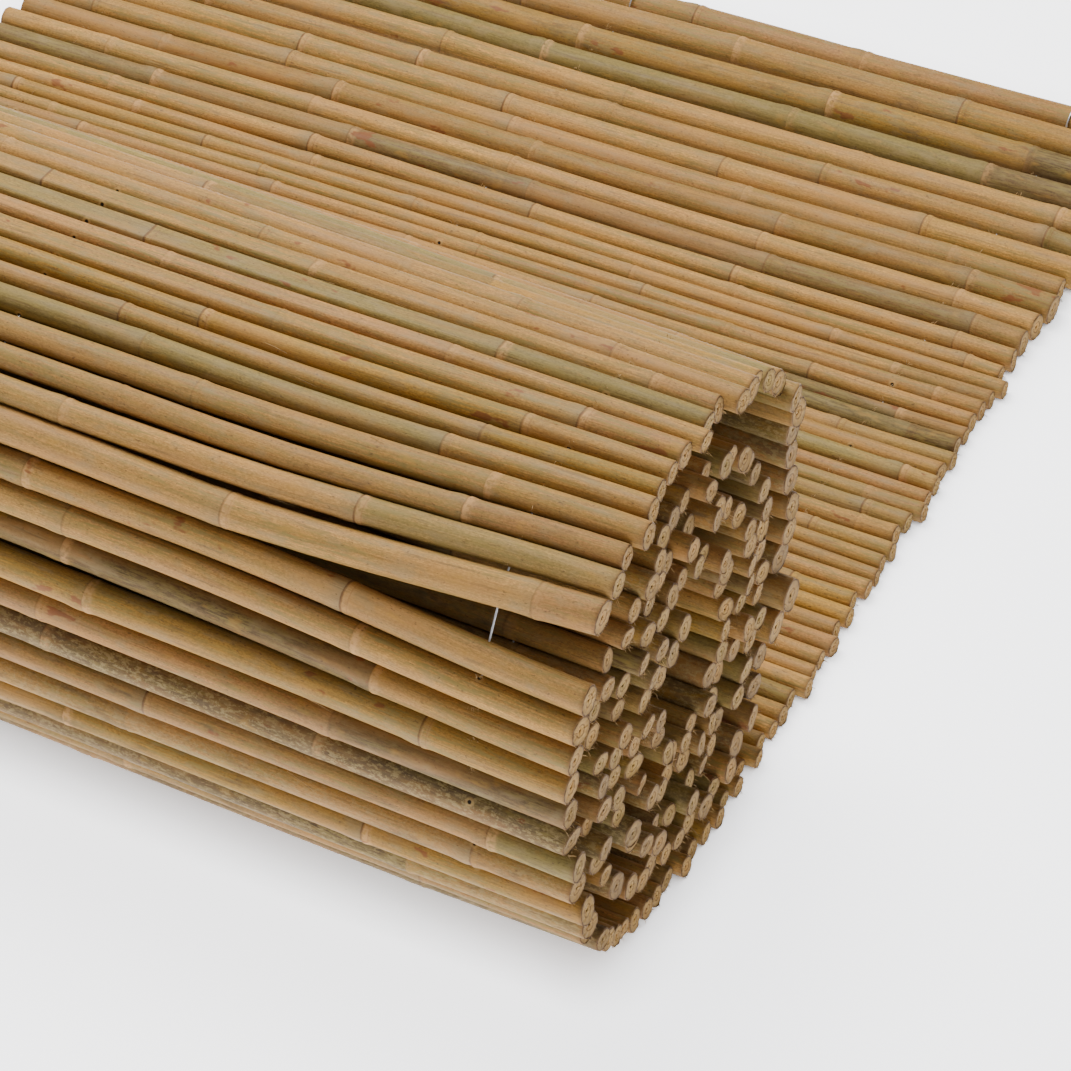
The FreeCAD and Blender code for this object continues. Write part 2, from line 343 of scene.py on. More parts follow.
class CaneSettings(bpy.types.PropertyGroup):
    """Sizes of the canes' own relief."""

    flat_sides: count_setting("Flat Sides", "Vertices round a cane of the flat stretch", 24)
    outer_sides: count_setting("Outer Sides", "Vertices round a cane of the outer turn", 28)
    inner_sides: count_setting("Inner Sides", "Vertices round a cane of the inner turns", 18)
    flat_nodes: count_setting("Flat Growth Rings", "Growth rings on a thin cane", 5)
    outer_nodes: count_setting("Outer Growth Rings", "Growth rings on a thick cane", 4)
    swell: share_setting(
        "Swell", "How far a growth ring stands out, as a share of the radius", 0.07)
    taper: share_setting("Taper", "How much thinner a cane's thin end is, as a share", 0.07)
    crook: length_setting("Crook", "How far a cane steps aside at its growth rings", 0.0012)
    wave: length_setting("Wave", "How far neighbouring canes bow aside together", 0.0022)
    closing: share_setting(
        "Closing", "Share of the length over which the front's gap closes", 0.34)
    sawn_back: length_setting(
        "Sawn Back", "How far the shortest inner canes end inside the longest", 0.011)
    ragged: share_setting(
        "Ragged", "How uneven the sawn rims are, as a share of the radius", 0.022)
    lip: length_setting("Torn Lip", "How far the saw tore the lower rim outwards", 0.0014)
    groove: share_setting("Groove", "Depth of the bud groove, as a share of the radius", 0.06)
    seed: count_setting("Seed", "Start of the random numbers", 11)


class ToneSettings(bpy.types.PropertyGroup):
    """Colours of the dried canes."""

    straw: colour_setting("Straw", "The commonest dried cane", (0.400, 0.208, 0.054))
    blush: colour_setting("Blush", "Pinkish tan canes", (0.390, 0.188, 0.058))
    olive: colour_setting("Olive", "Canes dried half green", (0.220, 0.160, 0.045))
    ochre: colour_setting("Ochre", "Yellow canes", (0.380, 0.200, 0.034))
    weathered: colour_setting("Weathered", "Grey brown canes", (0.140, 0.085, 0.034))
    stain: colour_setting("Stain", "Reddish brown stains", (0.20, 0.060, 0.022))
    scar: colour_setting("Scar", "Pale band beside a growth ring", (0.500, 0.275, 0.105))
    pith: colour_setting("Pith", "The cut face", (0.420, 0.268, 0.078))
    shred: colour_setting("Shred", "Torn fibres", (0.500, 0.315, 0.115))
    zinc: colour_setting("Zinc", "The wire's coat", (0.62, 0.63, 0.64))


class FibreSettings(bpy.types.PropertyGroup):
    """Torn fibres at the cut ends and the drilled holes, and slivers on the rind."""

    per_end: count_setting("Per End", "Torn fibres on a cut end of an inner cane", 30)
    per_hole: count_setting("Per Hole", "Torn fibres at a drilled hole", 5)
    slivers: count_setting(
        "Slivers", "Slivers lifted off the rind of the flat stretch or the outer turn", 40)
    sliver_length: length_setting("Sliver Length", "Length of the longest sliver", 0.028)
    longest: length_setting("Longest", "Length of the longest torn fibre", 0.0065)
    thickness: length_setting(
        "Thickness", "Thickness of a torn fibre where it leaves the cane", 0.00045)


class WireSettings(bpy.types.PropertyGroup):
    """The three tying wires."""

    gauge: length_setting("Gauge", "Diameter of the wire", 0.0016)
    sides: count_setting("Sides", "Vertices round the wire", 8)


class StageSettings(bpy.types.PropertyGroup):
    """Camera, floor and lights."""

    lens: bpy.props.FloatProperty(
        name="Lens", description="Focal length on a sensor of the set width",
        default=168.07, unit="CAMERA")
    sensor: bpy.props.FloatProperty(
        name="Sensor", description="Width of the camera's sensor", default=36.0, unit="CAMERA")
    place: bpy.props.FloatVectorProperty(
        name="Place", description="Where the camera stands",
        default=(1.551, -2.8025, 2.560), size=3, subtype="TRANSLATION")
    heading: bpy.props.FloatProperty(
        name="Heading", description="Camera's turn from straight along the screen",
        default=math.radians(26.04), subtype="ANGLE")
    tilt: bpy.props.FloatProperty(
        name="Tilt", description="How far the camera looks down",
        default=math.radians(40.47), subtype="ANGLE")
    floor_half: length_setting("Floor Half Width", "Half the floor's side", 40.0)
    floor_tint: colour_setting("Floor Tint", "The plain floor", (0.62, 0.62, 0.64))
    top_power: bpy.props.FloatProperty(
        name="Top Power", description="Power of the soft light above", default=285.0,
        unit="POWER")
    fill_power: bpy.props.FloatProperty(
        name="Fill Power", description="Power of the soft light in front", default=19.0,
        unit="POWER")


# Node tree helpers

class Tree:
    """Short ways to add and join the nodes of one node tree."""

    def __init__(self, tree):
        self.tree = tree

    def node(self, kind, **facts):
        made = self.tree.nodes.new(kind)
        for name, value in facts.items():
            setattr(made, name, value)
        return made

    def put(self, socket, value):
        if isinstance(value, bpy.types.NodeSocket):
            self.tree.links.new(value, socket)
        elif value is not None:
            socket.default_value = value

    def attribute(self, name, part="Vector"):
        return self.node("ShaderNodeAttribute", attribute_name=name).outputs[part]

    def maths(self, operation, first, second=None, third=None, clamp=False):
        made = self.node("ShaderNodeMath", operation=operation, use_clamp=clamp)
        for socket, value in zip(made.inputs, (first, second, third)):
            self.put(socket, value)
        return made.outputs[0]

    def times(self, first, second):
        return self.maths("MULTIPLY", first, second)

    def slowed(self, vector, slowness):
        """The place with its part along the cane made smaller, so that what is read there is long."""
        made = self.node("ShaderNodeVectorMath", operation="MULTIPLY")
        self.put(made.inputs[0], vector)
        self.put(made.inputs[1], (slowness, 1.0, 1.0))
        return made.outputs[0]

    def parts(self, vector):
        made = self.node("ShaderNodeSeparateXYZ")
        self.put(made.inputs[0], vector)
        return made.outputs

    def noise(self, vector, scale, detail=2.0, roughness=0.5):
        made = self.node("ShaderNodeTexNoise")
        for name, value in zip(
            ("Vector", "Scale", "Detail", "Roughness", "Distortion"),
            (vector, scale, detail, roughness, 0.0),
        ):
            self.put(made.inputs[name], value)
        return made.outputs["Fac"]

    def between(self, value, low, high, to_low=0.0, to_high=1.0):
        made = self.node("ShaderNodeMapRange", interpolation_type="SMOOTHSTEP")
        for name, given in zip(
            ("Value", "From Min", "From Max", "To Min", "To Max"),
            (value, low, high, to_low, to_high),
        ):
            self.put(made.inputs[name], given)
        return made.outputs[0]

    def mix(self, share, first, second, blend="MIX"):
        made = self.node("ShaderNodeMix", data_type="RGBA", blend_type=blend)
        self.put(made.inputs["Factor"], share)
        self.put(made.inputs[6], colour4(first))
        self.put(made.inputs[7], colour4(second))
        return made.outputs[2]

    def grey(self, value):
        made = self.node("ShaderNodeCombineColor")
        for socket in made.inputs:
            self.put(socket, value)
        return made.outputs[0]

    def lay(self, over, colour, mask, most=1.0):
        """The colour with another laid over it where the mask says, by at most this share."""
        share = mask if most == 1.0 else self.times(mask, most)
        return self.mix(share, colour, over)

    def value_mix(self, share, first, second):
        made = self.node("ShaderNodeMix", data_type="FLOAT")
        self.put(made.inputs["Factor"], share)
        self.put(made.inputs[2], first)
        self.put(made.inputs[3], second)
        return made.outputs[0]

    def bump(self, height, strength, distance):
        made = self.node("ShaderNodeBump")
        self.put(made.inputs["Height"], height)
        made.inputs["Strength"].default_value = strength
        made.inputs["Distance"].default_value = distance
        return made.outputs["Normal"]


def colour4(value):
    """A colour with its alpha, or the socket as it is."""
    if isinstance(value, bpy.types.NodeSocket) or value is None:
        return value
    return (*tuple(value)[:3], 1.0)


def group(name, inputs, outputs):
    """An empty shader node group with these sockets: (name, kind) pairs."""
    made = bpy.data.node_groups.new(name, "ShaderNodeTree")
    for title, kind, start in inputs:
        socket = made.interface.new_socket(title, in_out="INPUT", socket_type=kind)
        if start is not None:
            socket.default_value = start
    for title, kind in outputs:
        made.interface.new_socket(title, in_out="OUTPUT", socket_type=kind)
    tree = Tree(made)
    return tree, tree.node("NodeGroupInput"), tree.node("NodeGroupOutput")


def fibre_grain():
    """Streaks along a cane: noise on its place, read fast across and slowly along the length."""
    name = "Cane Fibre Grain"
    if name in bpy.data.node_groups:
        return bpy.data.node_groups[name]
    tree, given, out = group(
        name,
        (("Place", "NodeSocketVector", None), ("Fineness", "NodeSocketFloat", RIND_FINENESS)),
        (("Streak", "NodeSocketFloat"), ("Broad", "NodeSocketFloat")),
    )
    place, fineness = given.outputs["Place"], given.outputs["Fineness"]
    fine = tree.noise(tree.slowed(place, 0.012), fineness, 2.0, 0.65)
    broad = tree.noise(tree.slowed(place, 0.06), tree.times(fineness, 0.16), 2.0, 0.6)
    tree.put(out.inputs["Streak"], tree.between(fine, 0.30, 0.70))
    tree.put(out.inputs["Broad"], tree.between(broad, 0.28, 0.72))
    return tree.tree


def handling_dirt():
    """Grey dirt in blotches, a noise cut off higher the smaller the amount, and fine dark specks."""
    name = "Handling Dirt"
    if name in bpy.data.node_groups:
        return bpy.data.node_groups[name]
    tree, given, out = group(
        name,
        (("Place", "NodeSocketVector", None), ("Amount", "NodeSocketFloat", 0.3)),
        (("Dirt", "NodeSocketFloat"), ("Speck", "NodeSocketFloat")),
    )
    place = given.outputs["Place"]
    blotch = tree.noise(tree.slowed(place, 0.25), 95.0, 3.0, 0.68)
    edge = tree.maths("SUBTRACT", 0.78, tree.times(given.outputs["Amount"], 0.42))
    tree.put(out.inputs["Dirt"], tree.between(blotch, edge, tree.maths("ADD", edge, 0.20)))
    speck = tree.noise(tree.slowed(place, 0.45), 620.0, 1.0, 0.5)
    tree.put(out.inputs["Speck"], tree.between(speck, 0.69, 0.74))
    return tree.tree


def use(tree, made_group, **values):
    """The group placed in a material, with its inputs joined or set."""
    made = tree.node("ShaderNodeGroup", node_tree=made_group)
    for name, value in values.items():
        tree.put(made.inputs[name], value)
    return made.outputs


def material(name):
    """An empty material with a Principled shader: its tree, the shader and itself."""
    made = bpy.data.materials.new(name)
    made.use_nodes = True
    made.node_tree.nodes.clear()
    tree = Tree(made.node_tree)
    shader = tree.node("ShaderNodeBsdfPrincipled")
    out = tree.node("ShaderNodeOutputMaterial")
    tree.put(out.inputs["Surface"], shader.outputs[0])
    return tree, shader, made


def length_of(tree, *sides):
    """The square root of the sum of the squares."""
    total = 0.0
    for side in sides:
        total = tree.maths("MULTIPLY_ADD", side, side, total)
    return tree.maths("SQRT", total)


def near_wire(tree):
    """How far along the cane the nearest wire is: the least of |x| and ||x| - spread|."""
    across = tree.parts(tree.node("ShaderNodeTexCoord").outputs["Object"])[0]
    size = tree.maths("ABSOLUTE", across)
    edge = tree.maths("ABSOLUTE", tree.maths("SUBTRACT", size, WIRE_SPREAD))
    return tree.maths("MINIMUM", size, edge)


def drilled_hole(tree, radius):
    """A disc on either flank of a cane where a wire runs: distance along and round, joined."""
    off = tree.parts(tree.attribute("drilled"))
    away = length_of(tree, near_wire(tree), off[0], off[1])
    return tree.between(away, radius * 1.25, radius * 0.75)


def clouded_tone(tree, place, grain):
    """The internode's tone, streaked along the cane and clouded with pink, olive, grey and ochre.

    Also gives the fine grit and the wide clouds, which other marks read.
    """
    tones = bpy.context.scene.bamboo_tones
    shade = tree.times(
        tree.maths("MULTIPLY_ADD", grain["Streak"], 0.34, 0.82),
        tree.maths("MULTIPLY_ADD", grain["Broad"], 0.22, 0.90))
    grit = tree.noise(tree.slowed(place, 0.40), 950.0, 2.0, 0.75)
    shade = tree.times(shade, tree.between(grit, 0.32, 0.68, 0.74, 1.20))
    colour = tree.mix(1.0, tree.attribute("tone", "Color"), tree.grey(shade), "MULTIPLY")
    cloud = tree.noise(tree.slowed(place, 0.16), 42.0, 3.0, 0.6)
    colour = tree.lay(tones.blush, colour, tree.between(cloud, 0.47, 0.75, 0.0, 0.60))
    film = tree.noise(tree.slowed(place, 0.09), 560.0, 3.0, 0.78)
    green = tree.between(cloud, 0.60, 0.34, 0.20, 0.90)
    colour = tree.lay(tones.olive, colour, tree.times(green, tree.between(film, 0.40, 0.60)))
    patch = tree.noise(tree.slowed(place, 0.42), 105.0, 2.0, 0.65)
    colour = tree.lay(GREY_PATCH, colour, tree.between(patch, 0.50, 0.72, 0.0, 0.42))
    colour = tree.lay(tones.ochre, colour, tree.between(patch, 0.44, 0.26, 0.0, 0.40))
    return colour, grit, cloud


def growth_ring_marks(tree, colour, place, cloud, mark):
    """Grey bloom on one side of a growth ring, pale scar on the other, brown line and thin seam.

    Also gives the scar's band and its patchy share, the line and the seam for the relief.
    """
    knot = tree.parts(tree.attribute("knot"))
    bloom = tree.times(tree.maths("POWER", knot[1], 1.5), mark[1])
    bloom = tree.times(bloom, tree.between(cloud, 0.3, 0.6, 0.35, 0.8))
    colour = tree.lay(BLOOM_GREY, colour, bloom)
    scar = tree.between(knot[0], 0.40, 0.72)
    blurred = tree.noise(place, 300.0, 1.0, 0.5)
    patchy = tree.times(scar, tree.between(blurred, 0.35, 0.62, 0.25, 0.90))
    scarred = tree.times(patchy, mark[0])
    colour = tree.lay(bpy.context.scene.bamboo_tones.scar, colour, scarred)
    line = tree.between(tree.maths("ADD", knot[2], tree.times(blurred, 0.3)), 0.62, 0.98)
    line = tree.times(line, mark[1])
    colour = tree.lay(LINE_BROWN, colour, line)
    off_seam = tree.maths("ABSOLUTE", tree.maths("SUBTRACT", knot[0], 0.66))
    seam = tree.between(off_seam, 0.055, 0.0)
    colour = tree.lay(SEAM_BROWN, colour, tree.times(seam, tree.times(mark[1], 0.45)))
    return colour, scar, scarred, line, seam


def wear_dirt_and_shade(tree, colour, place, wear, mark, dirt_and_shade):
    """Scratches, reddish stains, specks, grey blotches of dirt and painted shade, and pale mould
    where both are most.

    Also gives the scratches, which the relief reads.
    """
    scratch = tree.noise(tree.slowed(place, 0.05), 330.0, 2.0, 0.7)
    scratch = tree.between(scratch, 0.60, 0.74)
    colour = tree.lay(SCRATCH_BROWN, colour, scratch, 0.50)
    stain = tree.noise(tree.slowed(place, 0.45), 62.0, 3.0, 0.62)
    stain_edge = tree.maths("SUBTRACT", 0.77, tree.times(mark[2], 0.17))
    stain = tree.between(stain, stain_edge, tree.maths("ADD", stain_edge, 0.05))
    colour = tree.lay(bpy.context.scene.bamboo_tones.stain, colour, stain, 0.75)
    colour = tree.lay(SPECK_BROWN, colour, dirt_and_shade["Speck"], 0.55)
    # Grey blotches of dirt, and on the inner turns of painted shade, grow with the amount.
    colour = tree.lay(RIND_DIRT_AND_SHADE, colour, dirt_and_shade["Dirt"], 0.60)
    mould = tree.noise(tree.slowed(place, 0.5), 400.0, 3.0, 0.75)
    mould = tree.times(tree.between(mould, 0.49, 0.60), tree.between(wear[0], 0.55, 0.85))
    return tree.lay(MOULD, colour, mould, 0.65), scratch


def rind_material():
    """Dried bamboo rind: tone of each internode, streaks, growth ring marks, stains, dirt, painted
    shade.
    """
    tree, shader, made = material("bamboo_rind")
    place = tree.attribute("place")
    wear = tree.parts(tree.attribute("wear"))
    mark = tree.parts(tree.attribute("mark"))
    grain = use(tree, fibre_grain(), Place=place, Fineness=RIND_FINENESS)
    # The amount is the cane's dirt, and on the inner turns painted shade too.
    dirt_and_shade = use(tree, handling_dirt(), Place=place, Amount=wear[0])
    colour, grit, cloud = clouded_tone(tree, place, grain)
    colour, scar, scarred, line, seam = growth_ring_marks(tree, colour, place, cloud, mark)
    colour, scratch = wear_dirt_and_shade(tree, colour, place, wear, mark, dirt_and_shade)
    # The rind turns brown over the last millimetres before a cut end.
    colour = tree.lay(BURNT, colour, tree.between(wear[2], 0.35, 1.0, 0.0, 0.6))
    hole = drilled_hole(tree, HOLE_RADIUS)
    fray = tree.maths("SUBTRACT", drilled_hole(tree, FRAY_RADIUS), hole, clamp=True)
    colour = tree.lay(bpy.context.scene.bamboo_tones.shred, colour, fray, 0.45)
    # Painted shade fills each drilled hole; the relief only dents it.
    colour = tree.lay(HOLE_PAINTED_SHADE, colour, hole)
    tree.put(shader.inputs["Base Color"], colour)

    rough = tree.value_mix(grain["Broad"], 0.56, 0.76)
    rough = tree.maths("ADD", rough, tree.times(dirt_and_shade["Dirt"], 0.22), clamp=True)
    rough = tree.maths("ADD", rough, tree.times(scarred, 0.15), clamp=True)
    tree.put(shader.inputs["Roughness"], rough)
    shader.inputs["Specular IOR Level"].default_value = 0.22
    relief = tree.maths("MULTIPLY_ADD", grain["Streak"], 0.30, tree.times(grain["Broad"], 0.45))
    for field, height in (
        (grit, 0.9), (hole, -3.0), (line, -0.9), (seam, -0.5), (scratch, -0.5),
        (tree.times(grit, scar), 1.0),
    ):
        relief = tree.maths("MULTIPLY_ADD", field, height, relief)
    tree.put(shader.inputs["Normal"], tree.bump(relief, 0.55, 0.00028))
    return made


def cut_material():
    """The sawn face: pale pith, fibre ends as dots, a ring round the pith, brown wall and rim,
    painted shade in the hole.

    The third value of wear runs from 0 in the middle of the face to 1 at its rim; the first is the
    amount of dirt and painted shade.
    """
    tree, shader, made = material("bamboo_cut_end")
    place = tree.attribute("place")
    wear = tree.parts(tree.attribute("wear"))
    # The amount is the cane's dirt, and on the inner turns painted shade too.
    dirt_and_shade = use(tree, handling_dirt(), Place=place, Amount=wear[0])
    dots = tree.noise(tree.slowed(place, 0.1), 1300.0, 2.0, 0.6)
    cloud = tree.noise(place, 210.0, 3.0, 0.6)
    pith = bpy.context.scene.bamboo_tones.pith
    colour = tree.lay(FACE_DOT, pith, tree.between(dots, 0.40, 0.62, 0.0, 0.5))
    tone_share = tree.between(cloud, 0.30, 0.7, 0.15, 0.8)
    colour = tree.lay(tree.attribute("tone", "Color"), colour, tone_share)
    # The wall darkens towards the rind.
    colour = tree.lay(FACE_WALL, colour, tree.between(wear[2], 0.40, 0.80, 0.0, 0.80))
    # The face greys and darkens with the amount of dirt and painted shade.
    colour = tree.lay(FACE_GREY, colour, wear[0], 0.55)
    colour = tree.lay(FACE_RIM, colour, tree.between(wear[2], 0.82, 0.93), 0.9)
    off_ring = tree.maths("ABSOLUTE", tree.maths("SUBTRACT", wear[2], 0.42))
    colour = tree.lay(FACE_RING, colour, tree.between(off_ring, 0.09, 0.02), 0.80)
    # Painted shade down the pith hole.
    colour = tree.lay(FACE_HOLE_SHADE, colour, tree.between(wear[2], 0.135, 0.085))
    colour = tree.lay(FACE_DIRT_AND_SHADE, colour, dirt_and_shade["Dirt"], 0.45)
    tree.put(shader.inputs["Base Color"], colour)
    tree.put(shader.inputs["Roughness"], tree.value_mix(cloud, 0.72, 0.92))
    shader.inputs["Specular IOR Level"].default_value = 0.2
    relief = tree.maths("ADD", dots, tree.times(cloud, 1.5))
    tree.put(shader.inputs["Normal"], tree.bump(relief, 0.6, 0.0004))
    return made


def shred_material():
    """Torn fibre: pale straw streaked along its length."""
    tree, shader, made = material("bamboo_torn_fibre")
    place = tree.attribute("place")
    grain = use(tree, fibre_grain(), Place=place, Fineness=SHRED_FINENESS)
    shred = bpy.context.scene.bamboo_tones.shred
    colour = tree.lay(SHRED_STREAK, shred, grain["Streak"], 0.6)
    colour = tree.mix(1.0, colour, tree.attribute("tone", "Color"), "MULTIPLY")
    tree.put(shader.inputs["Base Color"], colour)
    tree.put(shader.inputs["Roughness"], tree.value_mix(grain["Broad"], 0.6, 0.85))
    tree.put(shader.inputs["Normal"], tree.bump(grain["Streak"], 0.4, 0.0002))
    return made


def wire_material():
    """Galvanised wire: dull zinc with grey oxide clouds and drawing lines."""
    tree, shader, made = material("dull_zinc")
    place = tree.attribute("place")
    cloud = tree.noise(place, 180.0, 4.0, 0.65)
    grain = use(tree, fibre_grain(), Place=place, Fineness=WIRE_FINENESS)
    zinc = bpy.context.scene.bamboo_tones.zinc
    colour = tree.lay(ZINC_OXIDE, zinc, tree.between(cloud, 0.35, 0.68, 0.0, 0.7))
    colour = tree.lay(ZINC_BRIGHT, colour, grain["Streak"], 0.25)
    tree.put(shader.inputs["Base Color"], colour)
    shader.inputs["Metallic"].default_value = 0.85
    tree.put(shader.inputs["Roughness"], tree.between(cloud, 0.3, 0.7, 0.30, 0.52))
    tree.put(shader.inputs["Normal"], tree.bump(grain["Streak"], 0.3, 0.00008))
    return made


def shared(name, maker):
    """The material of that name, made when it is first asked for."""
    return bpy.data.materials.get(name) or maker()


# Surfaces

def inside_box(points):
    """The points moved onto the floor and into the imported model's box where they stick out."""
    points[..., 2] = np.maximum(points[..., 2], ABOVE_FLOOR)
    low, high = np.array(CAD_BOX)
    return np.clip(points, low + INSIDE_BOX, high - INSIDE_BOX)


def mesh_piece(name, points, quads, triangles, attributes, slots, sawn=None):
    """A mesh object from whole arrays of points, faces and vertex attributes.

    The quads marked sawn are flat and take the cut end's slot, as the triangles do where there
    are two slots. The other quads are smooth.
    """
    sawn = np.zeros(len(quads), bool) if sawn is None else sawn
    mesh = bpy.data.meshes.new(name)
    mesh.vertices.add(len(points))
    mesh.vertices.foreach_set("co", points.astype(np.float32).ravel())
    corners = np.concatenate([quads.ravel(), triangles.ravel()]).astype(np.int32)
    starts = np.concatenate([
        np.arange(len(quads)) * 4, len(quads) * 4 + np.arange(len(triangles)) * 3,
    ]).astype(np.int32)
    mesh.loops.add(len(corners))
    mesh.loops.foreach_set("vertex_index", corners)
    mesh.polygons.add(len(starts))
    mesh.polygons.foreach_set("loop_start", starts)
    numbers = np.concatenate([
        np.where(sawn, CUT_SLOT, RIND_SLOT), np.full(len(triangles), len(slots) - 1)])
    mesh.polygons.foreach_set("material_index", numbers.astype(np.int32))
    mesh.update(calc_edges=True)
    mesh.polygons.foreach_set(
        "use_smooth", np.concatenate([~sawn, np.zeros(len(triangles), bool)]))
    for title, values in attributes.items():
        kind, field = ("FLOAT_COLOR", "color") if title == "tone" else ("FLOAT_VECTOR", "vector")
        layer = mesh.attributes.new(title, kind, "POINT")
        layer.data.foreach_set(field, values.astype(np.float32).ravel())
    for made in slots:
        mesh.materials.append(made)
    mesh.validate()
    piece = bpy.data.objects.new(name, mesh)
    bpy.context.scene.collection.objects.link(piece)
    return piece


def ring_quads(starts, rings, sides):
    """Quads between neighbouring rings of vertices, wound outwards, for the grid at each start."""
    base = starts[:, None, None]
    row = np.arange(rings - 1)[None, :, None] * sides
    here = np.arange(sides)[None, None]
    following = (here + 1) % sides
    return np.stack([
        base + row + here, base + row + following,
        base + row + sides + following, base + row + sides + here,
    ], -1).reshape(-1, 4)


def end_fans(starts, poles, rings, sides):
    """Triangles from each grid's first ring to its pole, and from its last ring to the next one."""
    here = np.arange(sides)
    first = starts[:, None] + here
    beside = starts[:, None] + (here + 1) % sides
    pole = np.broadcast_to(poles[:, None], first.shape)
    last = (rings - 1) * sides
    near_fans = np.stack([pole, beside, first], -1)
    far_fans = np.stack([pole + 1, first + last, beside + last], -1)
    return np.concatenate([near_fans.reshape(-1, 3), far_fans.reshape(-1, 3)])


def growth_rings(canes, number, rng):
    """Distances of each cane's growth rings from its near end: even steps, shifted and jittered."""
    step = canes.length[:, None] / number
    shift = 0.16 + 0.68 * rng.random((canes.count, 1))
    jitter = (rng.random((canes.count, number)) - 0.5) * 0.24
    jitter[:, 0] *= shift[:, 0]
    return step * np.clip(np.arange(number) + shift + jitter, 0.12, number - 0.12)


def ring_distances(canes, growth, offsets):
    """Distances along each cane of its vertex rings: round each growth ring, between and at ends."""
    ends = np.array(END_RINGS)
    local = (growth[:, :, None] + np.array(offsets)).reshape(canes.count, -1)
    low = np.concatenate([np.full((canes.count, 1), FIRST_RING), growth + offsets[-1]], 1)
    high = np.concatenate([growth + offsets[0], canes.length[:, None] - FIRST_RING], 1)
    fill = low[:, :, None] + (high - low)[:, :, None] * np.array(BETWEEN_RINGS)
    near_ends = np.broadcast_to(ends, (canes.count, len(ends)))
    far_ends = canes.length[:, None] - ends[::-1]
    return np.sort(np.concatenate(
        [local, fill.reshape(canes.count, -1), near_ends, far_ends], 1), axis=1)


class Rings:
    """The rings of vertices of a group of canes, from the near pith hole to the far one.

    along is how far along its cane each ring lies, end_gap how far it is from the nearer end,
    signed from the nearest growth ring. internode counts the growth rings before it, and
    face_share is below 1 on the sawn faces.
    """

    def __init__(self, canes, growth, offsets):
        body = ring_distances(canes, growth, offsets)
        near_face = np.broadcast_to(END_DEPTHS, (canes.count, ENDS))
        far_face = canes.length[:, None] - near_face[:, ::-1]
        self.growth = growth
        self.along = np.concatenate([near_face, body, far_face], 1)
        self.face_share = np.concatenate([END_SHARES, np.ones(body.shape[1]), END_SHARES[::-1]])
        self.is_face = self.face_share < 1.0
        self.total = self.along.shape[1]
        self.near_half = np.arange(self.total) < self.total // 2
        self.share = self.along / canes.length[:, None]
        self.end_gap = np.minimum(self.along, canes.length[:, None] - self.along)
        gap = self.along[:, :, None] - growth[:, None, :]
        self.nearest = np.abs(gap).argmin(2)
        self.signed = np.take_along_axis(gap, self.nearest[:, :, None], 2)[:, :, 0]
        self.internode = (gap > 0).sum(2)

    def at_nearest(self, values):
        """The value of the nearest growth ring at every ring of vertices."""
        return np.take_along_axis(values, self.nearest, 1)


def palette(canes, number, rng, mixture, dirt_and_shade, chosen=None):
    """A tone for every internode: a weighted pick for the cane, then each internode moves a little.

    Colour = cane tone x (1 - a) + other tone x a, times a brightness near 1, darkened by the
    amount of dirt and painted shade. chosen names the near and far tone of single canes by
    their number.
    """
    tones = bpy.context.scene.bamboo_tones
    colours = np.array([tuple(getattr(tones, name)) for name in TONE_NAMES])
    weights = np.array(mixture) / sum(mixture)
    pick = rng.choice(len(colours), (canes.count, 1), p=weights)
    pick = np.repeat(pick, number + 1, axis=1)
    other = colours[rng.choice(len(colours), (canes.count, number + 1), p=weights)]
    share = rng.random((canes.count, number + 1, 1)) ** 1.5 * 0.60
    light = 1.0 + 0.10 * rng.standard_normal((canes.count, 1, 1))
    light = light + 0.06 * rng.standard_normal((canes.count, number + 1, 1))
    for cane, (near_tone, far_tone) in (chosen or {}).items():
        pick[cane] = TONE_NAMES.index(far_tone)
        pick[cane, :NEAR_INTERNODES] = TONE_NAMES.index(near_tone)
        share[cane] *= 0.5
        light[cane] = 1.0 + (light[cane] - 1.0) * 0.5
    # The amount darkens every tone: dirt, and on the inner turns mostly painted shade inside the
    # roll.
    light = np.clip(light, 0.68, 1.25) * (1.0 - 0.40 * dirt_and_shade[:, None, None])
    return (colours[pick] * (1 - share) + other * share) * light


def wave_bend(canes, share):
    """Neighbouring canes bow together: a sine along them, its phase drifting from cane to cane.

    Aside = wave x sin(pi s) x sin(2 pi (waves along x s + run / wave run)), s the share of the
    length.
    """
    wave = bpy.context.scene.bamboo_canes.wave
    phase = WAVES_ALONG * share + canes.run[:, None] / WAVE_RUN
    aside = wave * np.sin(np.pi * share) * np.sin(2 * np.pi * phase)
    return np.stack([aside, np.zeros_like(aside)], -1)


def first_above_gap(canes):
    """The number of the first cane above the front's gap, where the near ends lie furthest apart."""
    between = np.linalg.norm(np.diff(canes.near[:, 1:], axis=0), axis=1)
    return int((between - canes.radius[1:] - canes.radius[:-1]).argmax()) + 1


def front_bend(canes, share):
    """The canes beside the front's gap bow towards each other until they meet.

    Aside = part of the gap's width at s x fading with canes away x a smooth step over closing.
    """
    make = bpy.context.scene.bamboo_canes
    first = first_above_gap(canes)
    pair = canes.radius[first] + canes.radius[first - 1]
    near_gap = np.linalg.norm(canes.near[first] - canes.near[first - 1]) - pair
    far_gap = max(np.linalg.norm(canes.far[first] - canes.far[first - 1]) - pair, 0.0)
    width = near_gap * (1 - share) + far_gap * share
    step = np.clip(share / make.closing, 0, 1)
    width = width * step * step * (3 - 2 * step)
    number = np.arange(canes.count)
    above = GAP_SHARE_ABOVE * np.clip(1 - (number - first) / CANES_BENT_ABOVE, 0, 1)
    below = (1 - GAP_SHARE_ABOVE) * np.clip(1 - (first - 1 - number) / first, 0, 1)
    onward = np.gradient((canes.near + canes.far) / 2, axis=0)
    sign = np.sign((onward * canes.sideways).sum(1))
    push = np.where(number >= first, -sign * above, sign * below)
    sunk = np.where(number == first + SUNK_CANE, -SUNK_DEPTH, 0.0)[:, None] * np.sin(np.pi * share)
    return wave_bend(canes, share) + np.stack([push[:, None] * width, sunk], -1)


